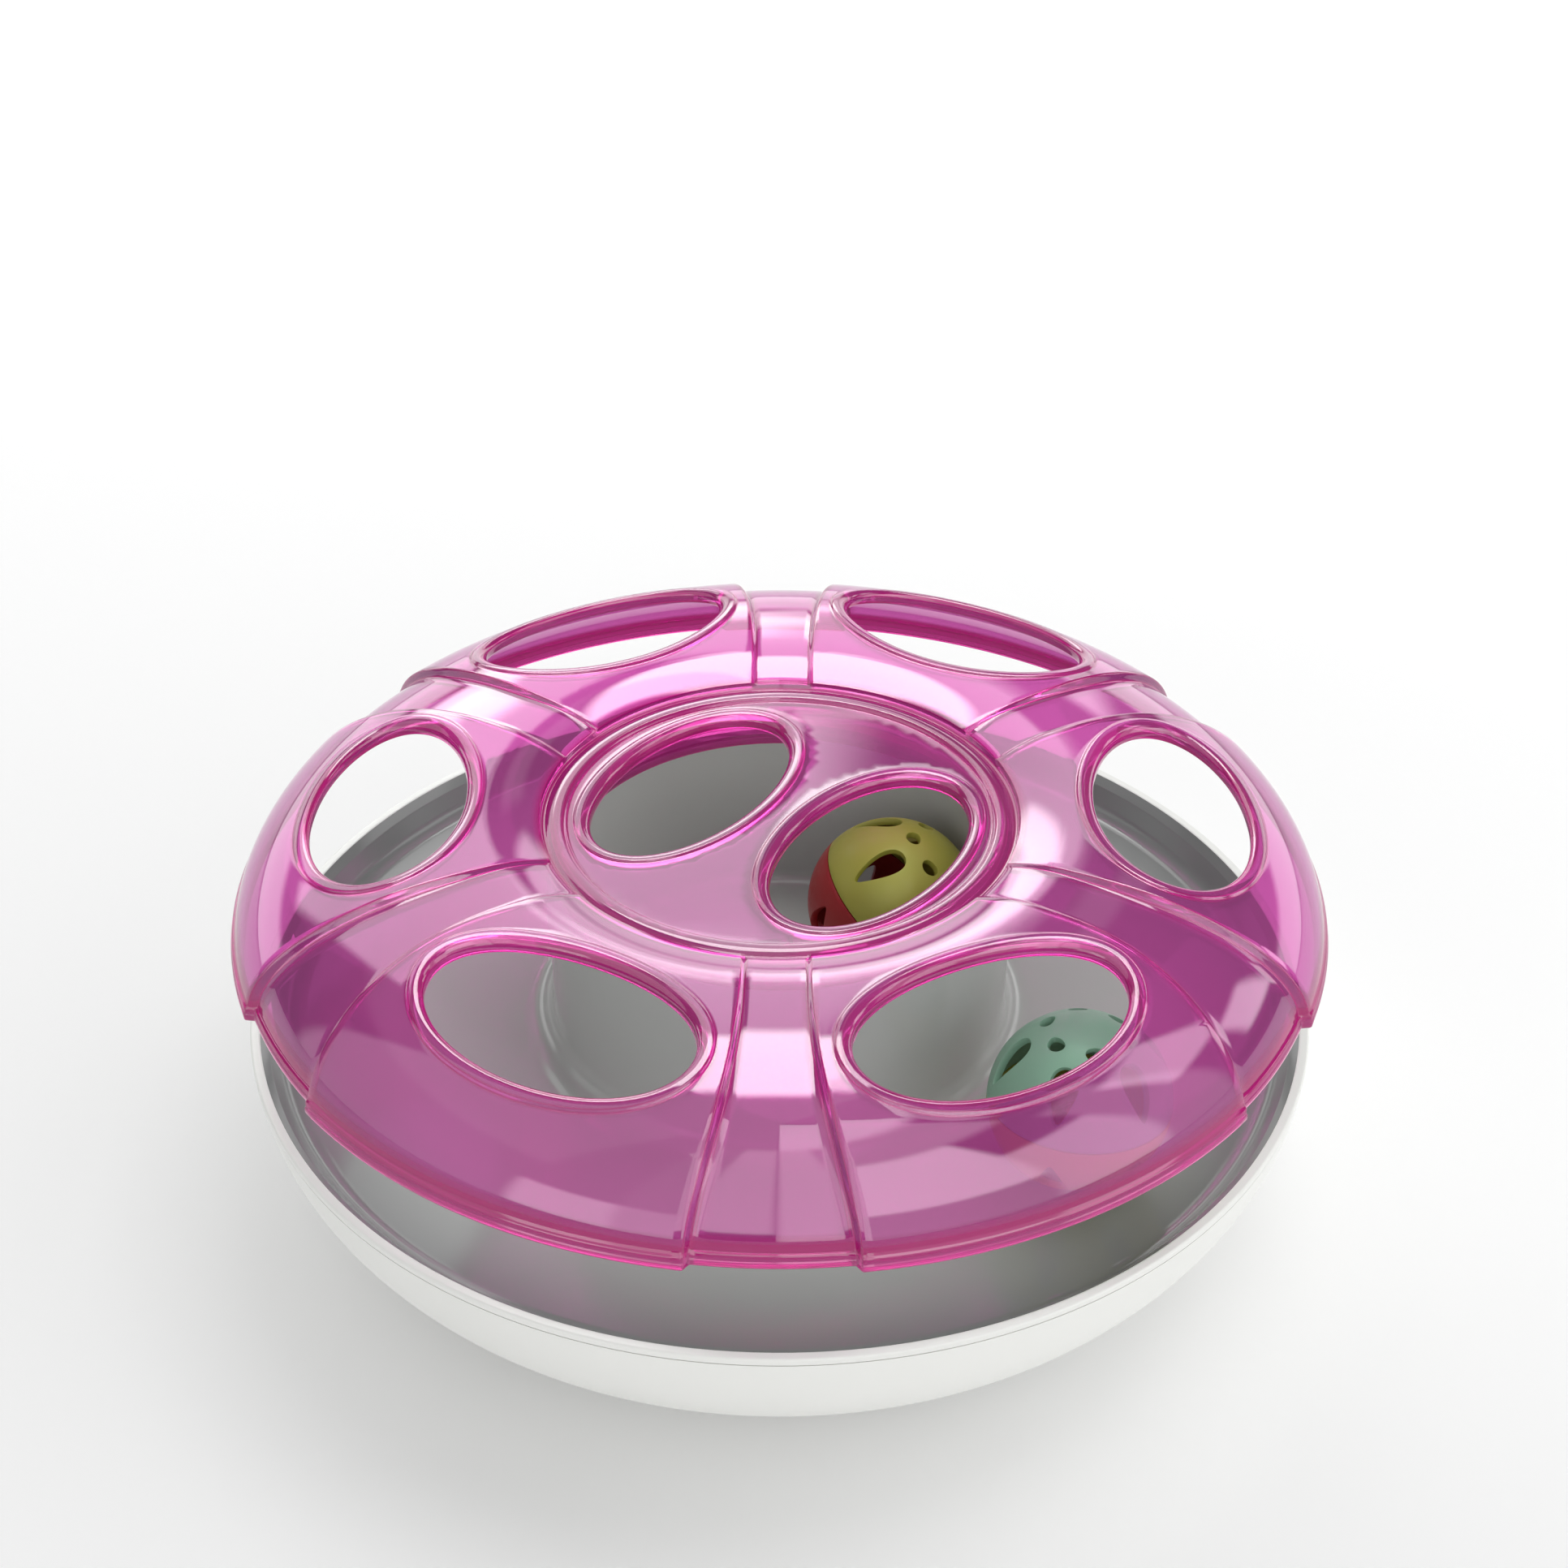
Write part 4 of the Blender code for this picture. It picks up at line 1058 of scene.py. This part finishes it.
def holeCutter():
    # one long hole and the oval beside it, as cutters through the wall
    work = bmesh.new()
    near, far = ball["radius"] - 2.5 * ball["wall"], ball["radius"] + ball["wall"]
    tearMiddle = (ball["tearNear"] + ball["tearFar"]) / 2
    tearHalf = (ball["tearFar"] - ball["tearNear"]) / 2
    shapes = [
        (0, tearMiddle, tearHalf, ball["tearWidth"] / 2, ball["tearTaper"]),
        (180 / ball["holes"], ball["ovalPolar"], ball["ovalShort"] / 2, ball["ovalLong"] / 2, 0),
    ]
    for azimuth, polar, longHalf, wideHalf, taper in shapes:
        outline = []
        for turn in np.linspace(0, 2 * math.pi, 40, endpoint=False):
            wide = wideHalf * math.sin(turn) * (1 - taper * math.cos(turn))
            down = polar + longHalf * math.cos(turn)
            outline.append((azimuth + wide / math.sin(math.radians(down)), down))
        ends = [[onBall(a, p, reach) for a, p in outline] for reach in (near, far)]
        addRows(work, [[onBall(azimuth, polar, near)], *ends, [onBall(azimuth, polar, far)]])
    return makeObject("hole_cutter", work, None)


def buildBallCuts():
    # cuts the holes, all round the pole, out of half a ball
    inputs = {"Cutter": "Object", "Copies": "Int", "Start turn": "Float", "Finish": "Material"}
    tree, given = newTree("ballHoles", inputs)
    cutter = addNode(tree, "GeometryNodeObjectInfo", links={"Object": given["Cutter"]}).outputs["Geometry"]
    both = {"Mesh 1": given["Geometry"], "Mesh 2": copiesRound(tree, given, cutter)}
    cut = addNode(tree, "GeometryNodeMeshBoolean", {"operation": "DIFFERENCE", "solver": "EXACT"}, both)
    endTree(tree, cut.outputs["Mesh"], given["Finish"])
    return tree


def makeHalf(name, finish, placing, cutter, tree):
    seam = math.degrees(math.asin(ball["seam"] / 2 / ball["radius"]))
    polars = np.linspace(0, 90 - seam, ball["rows"] + 1)[1:]
    inner = ball["radius"] - ball["wall"]
    ring = [360 * n / ball["steps"] for n in range(ball["steps"])]
    rows = [[onBall(0, 0, ball["radius"])]]
    rows += [[onBall(a, p, ball["radius"]) for a in ring] for p in polars]
    rows += [[onBall(a, p, inner) for a in ring] for p in polars[::-1]]
    rows.append([onBall(0, 0, inner)])
    work = bmesh.new()
    addRows(work, rows)
    made = makeObject(name, work, finish)
    useTree(made, tree, {"Cutter": cutter, "Copies": ball["holes"], "Start turn": 0.0, "Finish": finish})
    applyModifiers(made, finish)
    soft = made.modifiers.new("softEdges", "BEVEL")
    soft.width = ball["edgeRound"] * mm
    soft.segments = 2
    soft.angle_limit = math.radians(ball["edgeAngle"])
    applyModifiers(made, finish)
    made.data.transform(placing)
    made.data.shade_smooth()
    made.data.set_sharp_from_angle(angle=math.radians(ball["edgeAngle"]))
    return made


def makeBalls():
    cutter = holeCutter()
    tree = buildBallCuts()
    for label, facts in balls.items():
        centre = Vector((*onCircle(facts["orbit"], facts["azimuth"]), ball["height"])) * mm
        up = Vector(facts["pole"]).normalized()
        towards = Vector((*onCircle(1, facts["spin"]), 0))
        x = (towards - up * towards.dot(up)).normalized()
        y = up.cross(x)
        for end, (colour, finish) in zip((1, -1), facts["halves"].items()):
            # the other half is the same moulding turned over about its long holes' axis
            turn = Matrix((x, y * end, up * end)).transposed().to_4x4()
            node = f"{label}_ball_half_{colour}"
            placing = Matrix.Translation(centre) @ turn
            half = makeHalf(f"{label}_shell_{colour}", finish, placing, cutter, tree)
            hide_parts(node)
            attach(half, f"{label}_ball")
    bpy.data.objects.remove(cutter)


makeBalls()
print("balls made")


# Bells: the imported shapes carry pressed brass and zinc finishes

for label in balls:
    for part, finish in {"bell_top": brass, "bell_bottom": brass, "bell_pellet": zinc}.items():
        held = bpy.data.objects[f"{label}_{part}"]
        for place in held.material_slots:
            place.material = finish
print("bells finished")


# Studio: a pale floor, light panels that only gloss shows, three soft lamps, and the camera

studio = {
    "floorSize": 6000,
    "floorColour": "F6F6F6",
    "floorGlow": 0.06,  # what the floor adds for the camera, so that it is white away from the toy
    "skyTowards": (0.15, 0.25, 1.0),  # the plain light round the toy is strongest this way
    "skyLow": 0.0,
    "skyHigh": 0.46,
    "frontWall": ((100, 235), (-10, 32), 1.25),  # a pale wall behind the camera, given as a panel is
    "darkRoom": 0.2,  # what gloss shows between the panels
    "panelEdge": 4.0,  # how softly a panel ends, in degrees
    # light panels that gloss shows: degrees clockwise from the back, degrees up, brightness
    "panels": [
        ((-48, 2), (20, 50), 2.5),
        ((-20, -1), (16, 30), 4.6),
        ((-1, 14), (14, 25), 2.4),
        ((9, 17), (32, 48), 0.45),
        ((-32, 12), (50, 76), 9.5),
        ((12, 28), (50, 76), 7.0),
        ((-60, 60), (-10, 13), 2.0),
        ((-150, -75), (-5, 76), 1.0),
        ((-130, -48), (40, 76), 0.3),
        ((-164, -130), (-3, 24), 2.2),
        ((-164, -150), (24, 76), 1.2),
        ((-180, -164), (8, 76), 2.4),
        ((61, 74), (11, 27), 3.2),
        ((70, 90), (30, 50), 2.8),
        ((86, 103), (-5, 56), 1.0),
        ((103, 127), (-4, 46), 2.7),
        ((127, 165), (24, 62), 4.0),
        ((127, 165), (-5, 24), 1.2),
        ((165, 180), (-5, 76), 2.8),
        ((105, 165), (62, 76), 1.6),
        ((-180, 35), (76, 91), 1.1),
        ((35, 95), (76, 91), 0.7),
        ((95, 180), (76, 91), 3.8),
    ],
    # soft lamps: place, width, power in watts
    "lamps": {
        "rightLamp": ((1500, 400, 1050), 1900, 8.0),
        "backLamp": ((-550, 1350, 850), 1800, 10.5),
        "topLamp": ((450, 400, 1600), 1300, 7.0),
    },
}
view = {
    "distance": 4.335,  # in bowl rim radii, as the height is
    "height": 3.763,
    "turn": 0.65,
    "tilt": 56.13,
    "lens": 65.807,
    "shift": 0.00281,  # as a share of the picture's width
}


def makeFloor():
    work = bmesh.new()
    bmesh.ops.create_grid(work, x_segments=1, y_segments=1, size=studio["floorSize"] / 2)
    made, tree, shader, _ = newFinish("paleFloor")
    matt = {"Base Color": linear(studio["floorColour"]), "Roughness": 0.9, "Specular IOR Level": 0.1}
    setValues(shader, {**matt, "Emission Color": linear("FFFFFF")})
    rays = addNode(tree, "ShaderNodeLightPath").outputs
    seen = rays["Is Camera Ray"]
    for kind in ("Is Glossy Ray", "Is Transmission Ray"):
        either = {0: seen, 1: rays[kind]}
        seen = addNode(tree, "ShaderNodeMath", {"operation": "MAXIMUM"}, either).outputs[0]
    glow = addNode(tree, "ShaderNodeMath", {"operation": "MULTIPLY", 1: studio["floorGlow"]}, {0: seen})
    feed(tree, shader, {"Emission Strength": glow.outputs[0]})
    floor = makeObject("floor", work, made)


def band(tree, angle, start, stop):
    # 1 between two angles and 0 outside them, with soft edges
    off = addNode(tree, "ShaderNodeMath", {"operation": "SUBTRACT", 1: (start + stop) / 2}, {0: angle})
    away = addNode(tree, "ShaderNodeMath", {"operation": "ABSOLUTE"}, {0: off.outputs[0]})
    half, soft = (stop - start) / 2, studio["panelEdge"] / 2
    limits = {"interpolation_type": "SMOOTHSTEP", "From Min": half + soft, "From Max": half - soft}
    return addNode(tree, "ShaderNodeMapRange", limits, {"Value": away.outputs[0]}).outputs[0]


def addPanel(tree, light, around, up, panel):
    # one lit rectangle of the room, added to the light so far
    turn, height, brightness = panel
    sides = {0: band(tree, around, *turn), 1: band(tree, up, *height)}
    shape = addNode(tree, "ShaderNodeMath", {"operation": "MULTIPLY"}, sides).outputs[0]
    terms = {0: shape, 2: light}
    return addNode(tree, "ShaderNodeMath", {"operation": "MULTIPLY_ADD", 1: brightness}, terms).outputs[0]


def makeWorld():
    world = bpy.data.worlds.new("studio")
    bpy.context.scene.world = world
    world.use_nodes = True
    tree = world.node_tree
    direction = addNode(tree, "ShaderNodeTexCoord").outputs["Generated"]
    parts = addNode(tree, "ShaderNodeSeparateXYZ", links={0: direction}).outputs
    spun = addNode(tree, "ShaderNodeMath", {"operation": "ARCTAN2"}, {0: parts["X"], 1: parts["Y"]})
    around = addNode(tree, "ShaderNodeMath", {"operation": "DEGREES"}, {0: spun.outputs[0]}).outputs[0]
    risen = addNode(tree, "ShaderNodeMath", {"operation": "ARCSINE"}, {0: parts["Z"]})
    up = addNode(tree, "ShaderNodeMath", {"operation": "DEGREES"}, {0: risen.outputs[0]}).outputs[0]

    # what gloss shows
    room = addNode(tree, "ShaderNodeValue")
    room.outputs[0].default_value = studio["darkRoom"]
    gloss = room.outputs[0]
    for panel in studio["panels"]:
        gloss = addPanel(tree, gloss, around, up, panel)

    # what lights the toy
    along = {"operation": "DOT_PRODUCT", 1: studio["skyTowards"]}
    towards = addNode(tree, "ShaderNodeVectorMath", along, {0: direction}).outputs["Value"]
    reach = Vector(studio["skyTowards"]).length
    span = {"From Min": -reach, "From Max": reach, "To Min": studio["skyLow"], "To Max": studio["skyHigh"]}
    sky = addNode(tree, "ShaderNodeMapRange", span, {"Value": towards})
    whole = addNode(tree, "ShaderNodeMath", {"operation": "ADD", 1: 360.0}, {0: around})
    behind = addNode(tree, "ShaderNodeMath", {"operation": "MODULO", 1: 360.0}, {0: whole.outputs[0]})
    plain = addPanel(tree, sky.outputs[0], behind.outputs[0], up, studio["frontWall"])

    # white for the camera, also through the clear lid
    rays = addNode(tree, "ShaderNodeLightPath").outputs
    either = {0: rays["Is Camera Ray"], 1: rays["Is Transmission Ray"]}
    seen = addNode(tree, "ShaderNodeMath", {"operation": "MAXIMUM"}, either)
    level = addNode(tree, "ShaderNodeMix", {"data_type": "FLOAT", 3: 1.0}, {0: seen.outputs[0], 2: plain})
    # the panels after a glossy bounce, unless a matt surface was the last one hit
    depth = {0: rays["Glossy Depth"]}
    bounced = addNode(tree, "ShaderNodeMath", {"operation": "GREATER_THAN", 1: 0.5}, depth)
    hard = addNode(tree, "ShaderNodeMath", {"operation": "SUBTRACT", 0: 1.0}, {1: rays["Is Diffuse Ray"]})
    both = {0: bounced.outputs[0], 1: hard.outputs[0]}
    mirrored = addNode(tree, "ShaderNodeMath", {"operation": "MULTIPLY"}, both)
    mix = {0: mirrored.outputs[0], 2: level.outputs[0], 3: gloss}
    level = addNode(tree, "ShaderNodeMix", {"data_type": "FLOAT"}, mix)
    background = tree.nodes["Background"]
    setValues(background, {"Color": linear("FFFFFF")})
    feed(tree, background, {"Strength": level.outputs[0]})


def makeLamps():
    for name, (place, width, power) in studio["lamps"].items():
        data = bpy.data.lights.new(name, "AREA")
        data.shape = "DISK"
        data.size = width * mm
        data.energy = power
        lamp = bpy.data.objects.new(name, data)
        lamp.visible_glossy = False  # gloss shows the panels instead
        lamp.location = Vector(place) * mm
        lamp.rotation_euler = (-lamp.location).to_track_quat("-Z", "Y").to_euler()
        bpy.context.scene.collection.objects.link(lamp)


def makeCamera():
    data = bpy.data.cameras.new("camera")
    data.lens = view["lens"]
    data.shift_x = view["shift"]
    camera = bpy.data.objects.new("camera", data)
    reach = bowl["rimRadius"] * mm
    spot = Vector((0, -view["distance"] * reach, view["height"] * reach))
    camera.location = Matrix.Rotation(math.radians(view["turn"]), 3, "Z") @ spot
    camera.rotation_euler = (math.radians(view["tilt"]), 0, math.radians(view["turn"]))
    bpy.context.scene.collection.objects.link(camera)
    bpy.context.scene.camera = camera


makeFloor()
makeWorld()
makeLamps()
makeCamera()
bpy.context.scene.view_settings.view_transform = "Standard"
print("studio made")
